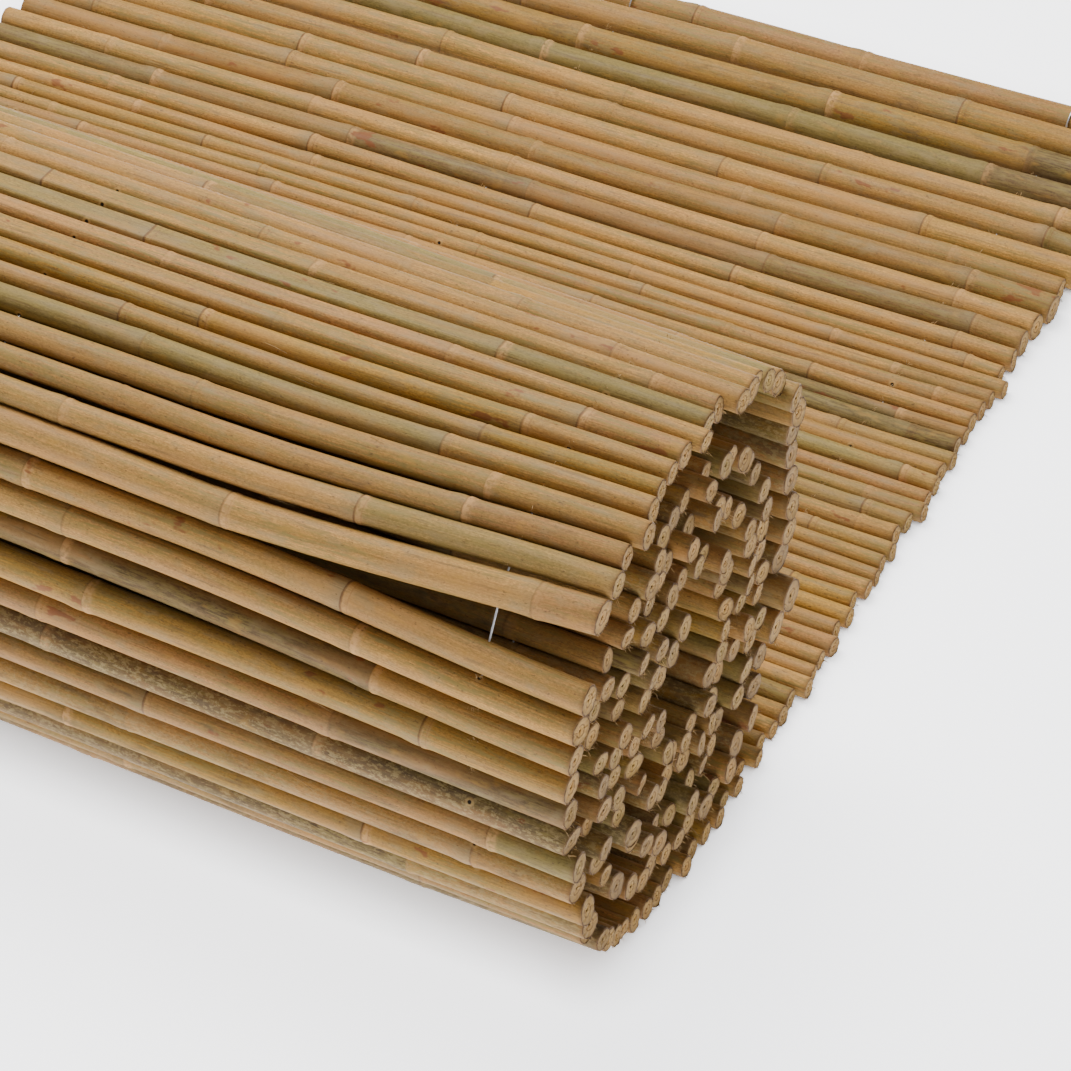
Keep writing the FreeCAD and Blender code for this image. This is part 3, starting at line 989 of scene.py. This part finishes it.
def moved_apart(canes, share, aside, radius):
    """How far each cane moves sideways so that it doesn't cut into the next one on the wires.

    At stations along the canes every overlap is halved between the two, round after round.
    """
    stations = np.linspace(0.0, 1.0, STATIONS)
    every = range(canes.count)
    size, side, out = (
        np.array([np.interp(stations, share[i], values[i]) for i in every])
        for values in (radius, aside[..., 0], aside[..., 1]))
    line = canes.near[:, None] + canes.span[:, None] * stations[None, :, None]
    line = line + out[..., None] * canes.outward[:, None]
    for _ in range(MOVING_ROUNDS):
        centre = line + side[..., None] * canes.sideways[:, None]
        step = (centre[1:] - centre[:-1]) * np.array([0.0, 1.0, 1.0])
        overlap = np.maximum(size[1:] + size[:-1] - np.linalg.norm(step, axis=2), 0.0) / 2
        overlap = overlap * np.sign((step * canes.sideways[:-1, None]).sum(-1))
        side[:-1] -= overlap
        side[1:] += overlap
    return np.array([np.interp(share[i], stations, side[i]) for i in every])


def thickness(canes, rings, number, rng):
    """Each vertex ring's radius as a share of the cane's: taper x wobble x (1 + swell x humps).

    The taper runs to either end; most canes have their thick end where they were sawn first.
    """
    make = bpy.context.scene.bamboo_canes
    thin_first = rng.random(canes.count) < THIN_FIRST
    run = np.where(thin_first[:, None], 1 - rings.share, rings.share)
    taper = 1.0 - make.taper * rng.uniform(0.2, 1.0, (canes.count, 1)) * run
    swell = rings.at_nearest(make.swell * rng.uniform(0.4, 1.3, (canes.count, number)))
    hump = sum(
        height * np.exp(-((rings.signed - place) / width) ** 2) for height, place, width in HUMPS)
    wobble = 1.0 + 0.010 * np.sin(rings.share * 17.0 + rng.random((canes.count, 1)) * ANY_TURN)
    return np.minimum(taper * wobble * (BETWEEN_THICKNESS + swell * hump), THICKEST)


def girths(canes, rings, profile, turn, rng):
    """Every vertex's distance from the middle line: thickness, less the bud groove, a bit oval.

    The groove starts at a growth ring and fades along its internode, on either side in turn.
    """
    make = bpy.context.scene.bamboo_canes
    start = rng.random((canes.count, 1)) * ANY_TURN
    internode = rings.internode
    facing = start + np.pi * (internode % 2) + 0.25 * internode
    ring_before = np.take_along_axis(rings.growth, np.maximum(internode - 1, 0), 1)
    since = np.where(internode > 0, rings.along - ring_before, rings.along + RING_OUTSIDE)
    fade = np.exp(-since / GROOVE_LENGTH) * np.clip(since / GROOVE_START, 0, 1)
    away = np.angle(np.exp(1j * (turn[None, None] - facing[:, :, None])))
    groove = make.groove * fade[:, :, None] * np.exp(-(away / GROOVE_WIDTH) ** 2)
    oval = OVAL * np.cos(2 * (turn[None, None] - start[:, :, None] * 1.7))
    girth = canes.radius[:, None, None] * profile[:, :, None] * (1 - groove + oval)
    return girth * rings.face_share[None, :, None]


def torn_rims(canes, rings, girth, turn, rng):
    """The girth with ragged rims, and how far each rim's lower side is torn outwards."""
    make = bpy.context.scene.bamboo_canes
    at_rim = (rings.face_share > END_SHARES[-2]) & (rings.end_gap < RIM_DEPTH)
    at_rim = at_rim[:, :, None] * 1.0
    ragged = np.clip(rng.normal(0, make.ragged, girth.shape), -0.06, 0.04)
    downwards = np.arctan2(-canes.sideways[:, 2], -canes.outward[:, 2])
    from_below = np.angle(np.exp(1j * (turn[None] - downwards[:, None])))
    torn = rng.random((canes.count, 1)) ** 1.5 * np.exp(-(from_below / 0.6) ** 2)
    lip = (torn * make.lip)[:, None] * rng.uniform(0.3, 1.0, (canes.count, 1, len(turn)))
    return girth * (1 + ragged * at_rim), at_rim * lip


def distances(rings, girth, lip, turn, rng):
    """Every vertex's distance along its cane: the sawn faces lean a little and are rough."""
    lean = rng.normal(0, FACE_LEAN, (len(girth), 2, 2))
    lean = np.where(rings.near_half[None, :, None], lean[:, :1], lean[:, 1:])
    reach = np.clip(1 - rings.end_gap / END_FADE, 0, 1)[:, :, None]
    slope = lean[:, :, 0:1] * np.cos(turn) + lean[:, :, 1:2] * np.sin(turn)
    rough = rng.normal(0, FACE_ROUGHNESS, girth.shape) * rings.is_face[None, :, None]
    inward = np.where(rings.near_half, 1.0, -1.0)[None, :, None]
    faces = END_BACK_OFF * inward * reach + rings.along[:, :, None] + slope * girth * reach
    return faces + rough - lip * inward


def middle_line(canes, rings, profile, number, rng, settle, bend):
    """Where each vertex ring's middle lies: a small step aside at each growth ring, and the bend.

    settle is how much of the lost radius the line drops, so that a tapered cane still rests on
    what is below it. Neighbours that would cut into each other are moved apart.
    """
    make = bpy.context.scene.bamboo_canes
    steps = rng.normal(0, make.crook, (canes.count, number + 2, 2))
    steps[:, 0] = 0.0
    stops = np.concatenate([np.zeros((canes.count, 1)), rings.growth, canes.length[:, None]], 1)
    aside = np.stack([
        np.stack([np.interp(rings.along[i], stops[i], steps[i, :, axis]) for axis in range(2)], -1)
        for i in range(canes.count)])
    lost = canes.radius[:, None] * (1 - profile.clip(0, 1))
    aside[..., 1] = aside[..., 1] * 0.4 - lost * settle
    if bend is not None:
        aside = aside + bend(canes, rings.share)
    body = slice(ENDS, -ENDS)
    radius = canes.radius[:, None] * profile
    free = moved_apart(canes, rings.share[:, body], aside[:, body], radius[:, body])
    aside[..., 0] = np.pad(free, ((0, 0), (ENDS, ENDS)), mode="edge")
    return (canes.near[:, None] + aside[..., 0:1] * canes.sideways[:, None]
            + aside[..., 1:2] * canes.outward[:, None])


def surface_fields(canes, rings, number, girth, distance, turn, rng, mixture, dirt_and_shade_amount, chosen,
                   drilled):
    """What the materials read at every vertex: place, growth ring bands, marks, wear and painted
    shade, tone, holes.
    """
    shape = girth.shape
    count = canes.count
    across = (np.cos(turn) * girth, np.sin(turn) * girth)
    place = np.stack([np.broadcast_to(distance, shape), *across], -1)
    place = place + rng.random((count, 1, 1, 3)) * PATTERN_SPREAD
    signed = rings.signed
    before = np.where(signed <= 0, np.clip(1 + signed / SCAR_REACH, 0, 1), 0.0)
    after = np.where(signed > 0, np.clip(1 - signed / BLOOM_REACH, 0, 1), 0.0)
    line = np.clip(1 - np.abs(signed) / LINE_REACH, 0, 1)
    scarred = rings.at_nearest(rng.random((count, number)) ** 1.4)
    lined = rings.at_nearest(0.12 + 0.78 * rng.random((count, number)) ** 1.8)
    stained = np.take_along_axis(rng.random((count, number + 1)) ** 2.2, rings.internode, 1)
    near_end = np.clip(1 - rings.end_gap / END_RING_REACH, 0, 1)
    edge = np.where(rings.is_face[None], rings.face_share[None], near_end)
    # Every vertex carries its cane's amount of dirt and painted shade.
    dirt_and_shade_field = np.broadcast_to(dirt_and_shade_amount[:, None], edge.shape)
    tone = palette(canes, number, rng, mixture, dirt_and_shade_amount, chosen)
    tone = np.take_along_axis(tone, rings.internode[:, :, None], 1)
    tone = np.concatenate([tone, np.ones(tone.shape[:2] + (1,))], -1)
    high_hole = rng.random((count, 1, 1)) < HIGH_HOLES
    angle = np.where(high_hole, rng.uniform(*HIGH_HOLE_TURNS, (count, 1, 1)), HOLE_TURN)
    off_top = (np.cos(turn) - np.cos(angle)) * girth
    off_side = (np.abs(np.sin(turn)) - np.sin(angle)) * girth
    no_hole = 0.0 if drilled else 1.0

    def round_about(*values):
        return np.broadcast_to(np.stack(values, -1)[:, :, None], shape + (len(values),))

    return {
        "place": place,
        "knot": round_about(before, after, line),
        "mark": round_about(scarred, lined, stained),
        "wear": round_about(dirt_and_shade_field, stained, edge),
        "tone": np.broadcast_to(tone[:, :, None], shape + (4,)),
        "drilled": np.stack([off_top, off_side, girth], -1) + no_hole,
    }


def cane_surface(name, canes, sides, number, offsets, rng, mixture, dirt_and_shade_amount, settle,
                 bend=None, chosen=None, drilled=True):
    """Every cane of a group as one grid of rings: a round section carried along its middle line.

    The end rings close the cane over its sawn face down into the pith hole, where a pole point
    ends it. bend gives how far the middle line lies aside and outwards at each share of the length.
    """
    rings = Rings(canes, growth_rings(canes, number, rng), offsets)
    turn = np.arange(sides) / sides * 2 * np.pi
    profile = thickness(canes, rings, number, rng)
    girth = girths(canes, rings, profile, turn, rng)
    girth, lip = torn_rims(canes, rings, girth, turn, rng)
    distance = distances(rings, girth, lip, turn, rng)
    centre = middle_line(canes, rings, profile, number, rng, settle, bend)
    outwards = canes.outward[:, None, None] * np.cos(turn)[None, None, :, None]
    outwards = outwards + canes.sideways[:, None, None] * np.sin(turn)[None, None, :, None]
    points = centre[:, :, None] + canes.along[:, None, None] * distance[..., None]
    points = inside_box(points + outwards * girth[..., None])
    fields = surface_fields(
        canes, rings, number, girth, distance, turn, rng, mixture, dirt_and_shade_amount, chosen, drilled)

    poles = np.stack([points[:, 0].mean(1), points[:, -1].mean(1)], 1)
    all_points = np.concatenate([points.reshape(-1, 3), poles.reshape(-1, 3)])
    attributes = {}
    for title, values in fields.items():
        parts = values.shape[-1]
        at_poles = values[:, (0, -1), 0].reshape(-1, parts)
        attributes[title] = np.concatenate([values.reshape(-1, parts), at_poles])
    starts = np.arange(canes.count) * rings.total * sides
    pole_numbers = points[..., 0].size + np.arange(canes.count) * 2
    quads = ring_quads(starts, rings.total, sides)
    fans = end_fans(starts, pole_numbers, rings.total, sides)
    sawn_row = rings.is_face[:-1] & rings.is_face[1:]
    sawn = np.broadcast_to(sawn_row[None, :, None], (canes.count, rings.total - 1, sides)).ravel()
    slots = (shared("bamboo_rind", rind_material), shared("bamboo_cut_end", cut_material))
    return mesh_piece(name, all_points, quads, fans, attributes, slots, sawn)


def finish_piece(piece, slot, *nodes):
    """The piece rides the one body and stands for its nodes, which it hides; slot is not used."""
    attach(piece, "root")
    if nodes:
        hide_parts(*nodes)


def roll_axis():
    """The middle of the outer turn, through which the roll's axis runs."""
    canes = Canes(OUTER_NODE)
    return ((canes.near + canes.far) / 2).mean(0)


class BAMBOO_OT_flat_stretch(bpy.types.Operator):
    """Lay the canes of the unrolled stretch"""

    bl_idname = "bamboo.flat_stretch"
    bl_label = "Flat Stretch"

    def execute(self, context):
        make = context.scene.bamboo_canes
        rng = np.random.default_rng(make.seed)
        canes = sawn_canes(FLAT_NODE)
        dirt_and_shade_amount = 0.06 + 0.45 * rng.random(canes.count) ** 3
        for order, amount in EDGE_SOIL.items():
            dirt_and_shade_amount[order] = amount
        piece = cane_surface(
            "dressed_flat_stretch", canes, make.flat_sides, make.flat_nodes, FINE_RINGS, rng,
            FLAT_MIXTURE, dirt_and_shade_amount, settle=0.9, bend=wave_bend, chosen=EDGE_TONES)
        finish_piece(piece, "bamboo", FLAT_NODE)
        return {"FINISHED"}


class BAMBOO_OT_outer_turn(bpy.types.Operator):
    """Lay the canes of the outer turn of the roll"""

    bl_idname = "bamboo.outer_turn"
    bl_label = "Outer Turn"

    def execute(self, context):
        make = context.scene.bamboo_canes
        rng = np.random.default_rng(make.seed + OUTER_DRAWS)
        canes = sawn_canes(OUTER_NODE, roll_axis())
        first = first_above_gap(canes)
        chosen = {first + step: tone for step, tone in FRONT_TONES.items() if first + step >= 0}
        dirt_and_shade_amount = 0.10 + 0.45 * rng.random(canes.count) ** 3
        for step, amount in FRONT_SOIL.items():
            dirt_and_shade_amount[max(first + step, 0)] = amount
        piece = cane_surface(
            "dressed_outer_turn", canes, make.outer_sides, make.outer_nodes, FINE_RINGS, rng,
            OUTER_MIXTURE, dirt_and_shade_amount, settle=0.5, bend=front_bend, chosen=chosen)
        finish_piece(piece, "bamboo", OUTER_NODE)
        return {"FINISHED"}


class BAMBOO_OT_inner_turns(bpy.types.Operator):
    """Lay the canes of the turns inside the roll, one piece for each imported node"""

    bl_idname = "bamboo.inner_turns"
    bl_label = "Inner Turns"

    def execute(self, context):
        make = context.scene.bamboo_canes
        rng = np.random.default_rng(make.seed + INNER_DRAWS)
        axis = roll_axis()
        for node in INNER_NODES:
            canes = sawn_canes(node, axis)
            # The inner turns get far more: their dirt, and painted shade darkening the inside of the
            # roll.
            dirt_and_shade_amount = 0.36 + 0.60 * rng.random(canes.count) ** 1.4
            piece = cane_surface(
                "dressed_" + node.replace("_canes", ""), canes, make.inner_sides,
                make.flat_nodes, PLAIN_RINGS, rng, INNER_MIXTURE, dirt_and_shade_amount, settle=0.3,
                drilled=False)
            finish_piece(piece, "bamboo", node)
        return {"FINISHED"}


def spikes(name, roots, heads, droop, width, tones, rng):
    """Torn fibres as three sided spikes: root, bent middle and tip, closed at the root.

    Middle = 0.55 of the way to the tip, less a quarter of the droop; tip = root + head, less
    the droop.
    """
    count = len(roots)
    aim = heads / np.linalg.norm(heads, axis=1)[:, None]
    cross = np.cross(aim, rng.normal(0, 1, (count, 3)))
    cross /= np.linalg.norm(cross, axis=1)[:, None]
    other = np.cross(aim, cross)
    turn = np.arange(3) * 2 * np.pi / 3
    section = cross[:, None] * np.cos(turn)[None, :, None]
    section = section + other[:, None] * 0.5 * np.sin(turn)[None, :, None]
    section = section * width[:, None, None]
    down = np.zeros((count, 3))
    down[:, 2] = droop
    middle = (roots + heads * 0.55 - down * 0.25)[:, None] + section * 0.7
    tip = (roots + heads - down)[:, None]
    points = inside_box(np.concatenate([roots[:, None] + section, middle, tip], 1))
    starts = np.arange(count)[:, None] * 7
    sides = [(i, (i + 1) % 3) for i in range(3)]
    quads = np.concatenate([starts + np.array([i, j, 3 + j, 3 + i]) for i, j in sides])
    triangles = np.concatenate(
        [starts + np.array([2, 1, 0])] + [starts + np.array([3 + i, 3 + j, 6]) for i, j in sides])
    place = points - roots[:, None] + rng.random((count, 1, 3)) * 9.0
    tone = np.ones((count, 7, 4))
    tone[..., :3] = tones[:, None]
    attributes = {"place": place.reshape(-1, 3), "tone": tone.reshape(-1, 4)}
    return mesh_piece(
        name, points.reshape(-1, 3), quads, triangles, attributes,
        (shared("bamboo_torn_fibre", shred_material),))


def end_fibres(canes, number, rng):
    """Roots and directions of the fibres torn at both cut ends, most of them at the lower rim."""
    make = bpy.context.scene.bamboo_fibres
    size = canes.count * number
    pick = np.repeat(np.arange(canes.count), number)
    for end, sign in ((canes.near, 1.0), (canes.far, -1.0)):
        amount = np.repeat(rng.random(canes.count) ** 1.3, number)
        below = rng.normal(-np.pi / 2, 0.85, size)
        out = np.stack([np.zeros(size), np.cos(below), np.sin(below)], 1)
        radius = canes.radius[pick] * rng.uniform(0.84, 0.95, size)
        outwards = -canes.along[pick] * sign
        long = make.longest * (0.15 + 0.85 * rng.random(size) ** 2.2) * (0.35 + amount)
        long = long[:, None]
        head = outwards * long * 0.6 + out * long * rng.uniform(-0.25, 0.65, size)[:, None]
        head += rng.normal(0, 0.22, (size, 3)) * long
        yield end[pick] - outwards * 0.0022 + out * radius[:, None], head


def round_the_cane(canes, pick, angle):
    """The directions at these angles from the tops of the picked canes."""
    return (canes.outward[pick] * np.cos(angle)[:, None]
            + canes.sideways[pick] * np.sin(angle)[:, None])


def hole_fuzz(canes, plane, rng):
    """Roots and directions of the short fibres that one wire's drilling left on the flanks."""
    number = bpy.context.scene.bamboo_fibres.per_hole * 2
    size = canes.count * number
    pick = np.repeat(np.arange(canes.count), number)
    flank = np.where(np.arange(size) % 2 == 0, 1.0, -1.0)
    out = round_the_cane(canes, pick, flank * rng.normal(FUZZ_TURN, 0.10, size))
    root = canes.centre_at(plane)[pick] + out * canes.radius[pick][:, None] * 0.93
    root[:, 0] += rng.normal(0, HOLE_RADIUS, size)
    long = rng.uniform(*FUZZ_LENGTHS, size)[:, None]
    return root, out * long + rng.normal(0, 0.5, (size, 3)) * long


def rind_slivers(canes, rng):
    """Roots and directions of long slivers lifted off the rind, lying almost along the cane."""
    make = bpy.context.scene.bamboo_fibres
    size = make.slivers
    pick = rng.integers(0, canes.count, size)
    out = round_the_cane(canes, pick, rng.normal(0, 0.5, size))
    share = rng.uniform(0.05, 0.95, size)[:, None]
    root = canes.near[pick] + canes.span[pick] * share + out * canes.radius[pick][:, None] * 0.95
    long = make.sliver_length * rng.uniform(0.3, 1.0, size)[:, None]
    way = np.where(rng.random(size) < 0.5, 1.0, -1.0)[:, None]
    return root, canes.along[pick] * way * long + out * long * rng.uniform(0.1, 0.3, size)[:, None]


class BAMBOO_OT_torn_fibres(bpy.types.Operator):
    """Add the torn fibres at the sawn ends and drilled holes, and the slivers on the rind"""

    bl_idname = "bamboo.torn_fibres"
    bl_label = "Torn Fibres"

    def execute(self, context):
        make = context.scene.bamboo_fibres
        rng = np.random.default_rng(context.scene.bamboo_canes.seed + FIBRE_DRAWS)
        axis = roll_axis()
        groups = [sawn_canes(node, axis) for node in CANE_NODES]
        drilled = groups[:2]
        fibres = []
        for canes in groups:
            number = make.per_end // 2 if canes in drilled else make.per_end
            fibres += end_fibres(canes, number, rng)
        fibres += [hole_fuzz(canes, plane, rng) for canes in drilled for plane in WIRE_PLANES]
        fibres += [rind_slivers(canes, rng) for canes in drilled]
        roots, heads = (np.concatenate(values) for values in zip(*fibres))
        long = np.minimum(np.linalg.norm(heads, axis=1), make.longest)
        width = make.thickness * rng.uniform(0.35, 1.0, len(roots))
        tones = rng.uniform(0.6, 1.15, (len(roots), 1)) * np.ones(3)
        piece = spikes("torn_fibres", roots, heads, long * 0.3, width, tones, rng)
        finish_piece(piece, "bamboo")
        return {"FINISHED"}


def tube(name, path, radius, sides, made):
    """A round section carried along a path: at each point it stands square to the mean direction."""
    step = np.gradient(path, axis=0)
    step /= np.linalg.norm(step, axis=1)[:, None]
    across = np.cross(step, np.array([1.0, 0.0, 0.0]))
    across /= np.linalg.norm(across, axis=1)[:, None]
    beside = np.cross(step, across)
    turn = np.arange(sides) / sides * 2 * np.pi
    ring = across[:, None] * np.cos(turn)[None, :, None]
    ring = ring + beside[:, None] * np.sin(turn)[None, :, None]
    points = path[:, None] + ring * radius
    count = len(path)
    run = np.concatenate([[0], np.cumsum(np.linalg.norm(np.diff(path, axis=0), axis=1))])
    place = np.stack([
        np.broadcast_to(values, (count, sides))
        for values in (run[:, None], np.cos(turn) * radius, np.sin(turn) * radius)
    ], -1).reshape(-1, 3)
    return mesh_piece(
        name, np.concatenate([points.reshape(-1, 3), path[:1], path[-1:]]),
        ring_quads(np.array([0]), count, sides),
        end_fans(np.array([0]), np.array([count * sides]), count, sides),
        {"place": np.concatenate([place, place[:1], place[-1:]])}, (made,))


class BAMBOO_OT_wires(bpy.types.Operator):
    """Thread the three wires through the canes and loop them over the free edge cane"""

    bl_idname = "bamboo.wires"
    bl_label = "Wires"

    def execute(self, context):
        make = context.scene.bamboo_wires
        made = shared("dull_zinc", wire_material)
        groups = [Canes(node) for node in CANE_NODES]
        edge_radius = groups[0].radius[0] + make.gauge * 0.35
        for node, plane in zip(WIRE_NODES, WIRE_PLANES):
            line = np.concatenate([canes.centre_at(plane) for canes in groups])
            turn = np.linspace(math.radians(200), math.radians(-20), 23)
            loop = np.zeros((len(turn), 3))
            loop[:, 0] = line[0, 0] + np.linspace(-0.0016, 0.0012, len(turn))
            loop[:, 1] = line[0, 1] + np.cos(turn) * edge_radius
            loop[:, 2] = line[0, 2] + np.sin(turn) * edge_radius
            piece = tube(
                node.replace("_wire", "_round_wire"), np.concatenate([loop, line]),
                make.gauge / 2, make.sides, made)
            finish_piece(piece, "galvanised_wire", node)
        return {"FINISHED"}


def area_light(name, place, size, power, tint):
    """A square soft light that faces the screen."""
    light = bpy.data.lights.new(name, "AREA")
    light.size = size
    light.energy = power
    light.color = tint
    lamp = bpy.data.objects.new(name, light)
    lamp.location = place
    aim = Vector(LIT_SPOT) - Vector(place)
    lamp.rotation_euler = aim.to_track_quat("-Z", "Y").to_euler()
    bpy.context.scene.collection.objects.link(lamp)


def floor_material():
    """Plain pale floor that glows, but less so where a piece stands close over it: painted contact
    shadow.
    """
    tint = bpy.context.scene.bamboo_stage.floor_tint
    tree, shader, made = material("pale_floor")
    soft = tree.noise(tree.node("ShaderNodeTexCoord").outputs["Object"], 1.2, 2.0)
    darker = tuple(part * 0.985 for part in tint)
    tree.put(shader.inputs["Base Color"], tree.mix(soft, tint, darker))
    shader.inputs["Roughness"].default_value = 0.85
    shader.inputs["Specular IOR Level"].default_value = 0.15
    shader.inputs["Emission Color"].default_value = (0.96, 0.97, 1.0, 1.0)
    # Ambient occlusion dims the glow near a piece: a painted contact shadow.
    near = tree.node("ShaderNodeAmbientOcclusion", samples=1)
    near.inputs["Distance"].default_value = CONTACT_REACH
    open_share = tree.maths("POWER", near.outputs["AO"], CONTACT_POWER)
    tree.put(shader.inputs["Emission Strength"], tree.times(open_share, FLOOR_GLOW))
    # The glow isn't sampled as a lamp: it reaches the pieces only as bounced light.
    made.cycles.emission_sampling = "NONE"
    return made


class BAMBOO_OT_stage(bpy.types.Operator):
    """Set the camera, the pale floor and the soft lights"""

    bl_idname = "bamboo.stage"
    bl_label = "Stage"

    def execute(self, context):
        stage = context.scene.bamboo_stage
        data = bpy.data.cameras.new("view_camera")
        data.sensor_fit = "HORIZONTAL"
        data.sensor_width = stage.sensor
        data.lens = stage.lens
        data.clip_end = 200.0
        camera = bpy.data.objects.new("view_camera", data)
        heading, tilt = stage.heading, stage.tilt
        forward = Vector((
            -math.sin(heading) * math.cos(tilt), math.cos(heading) * math.cos(tilt), -math.sin(tilt)))
        right = Vector((math.cos(heading), math.sin(heading), 0.0))
        up = right.cross(forward)
        turn = Matrix((right, up, -forward)).transposed()
        camera.matrix_world = Matrix.Translation(Vector(stage.place)) @ turn.to_4x4()
        context.scene.collection.objects.link(camera)
        context.scene.camera = camera

        half = stage.floor_half
        corners = [(-half, -half, 0), (half, -half, 0), (half, half, 0), (-half, half, 0)]
        mesh = bpy.data.meshes.new("pale_floor")
        mesh.from_pydata(corners, [], [(0, 1, 2, 3)])
        mesh.materials.append(floor_material())
        floor = bpy.data.objects.new("pale_floor", mesh)
        context.scene.collection.objects.link(floor)

        world = bpy.data.worlds.new("soft_room")
        world.use_nodes = True
        sky = world.node_tree.nodes["Background"]
        sky.inputs["Color"].default_value = (0.93, 0.95, 1.0, 1.0)
        sky.inputs["Strength"].default_value = 0.20
        context.scene.world = world
        area_light("top_softbox", (-0.9, 0.9, 3.4), 2.2, stage.top_power, (1.0, 0.985, 0.95))
        area_light("front_fill", (2.2, -2.6, 2.0), 2.4, stage.fill_power, (1.0, 0.98, 0.95))
        return {"FINISHED"}


class BAMBOO_PT_panel(bpy.types.Panel):
    """Buttons and settings of the bamboo screen"""

    bl_idname = "BAMBOO_PT_panel"
    bl_label = "Bamboo Screen"
    bl_space_type = "VIEW_3D"
    bl_region_type = "UI"
    bl_category = "Bamboo Screen"

    def draw(self, context):
        for maker in OPERATORS:
            self.layout.operator(maker.bl_idname)
        for name in SETTINGS:
            settings = getattr(context.scene, name)
            box = self.layout.box()
            for title in settings.__annotations__:
                box.prop(settings, title)


SETTINGS = {
    "bamboo_canes": CaneSettings,
    "bamboo_tones": ToneSettings,
    "bamboo_fibres": FibreSettings,
    "bamboo_wires": WireSettings,
    "bamboo_stage": StageSettings,
}
OPERATORS = (
    BAMBOO_OT_stage, BAMBOO_OT_flat_stretch, BAMBOO_OT_outer_turn, BAMBOO_OT_inner_turns,
    BAMBOO_OT_torn_fibres, BAMBOO_OT_wires,
)


def register():
    for made in (*SETTINGS.values(), *OPERATORS, BAMBOO_PT_panel):
        bpy.utils.register_class(made)
    for name, kind in SETTINGS.items():
        setattr(bpy.types.Scene, name, bpy.props.PointerProperty(type=kind))


def unregister():
    for name in SETTINGS:
        delattr(bpy.types.Scene, name)
    for made in reversed((*SETTINGS.values(), *OPERATORS, BAMBOO_PT_panel)):
        bpy.utils.unregister_class(made)


def main():
    """Registers the add-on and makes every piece."""
    register()
    bpy.ops.bamboo.stage()
    bpy.ops.bamboo.flat_stretch()
    bpy.ops.bamboo.outer_turn()
    bpy.ops.bamboo.inner_turns()
    bpy.ops.bamboo.torn_fibres()
    bpy.ops.bamboo.wires()


if __name__ == "__main__":
    main()
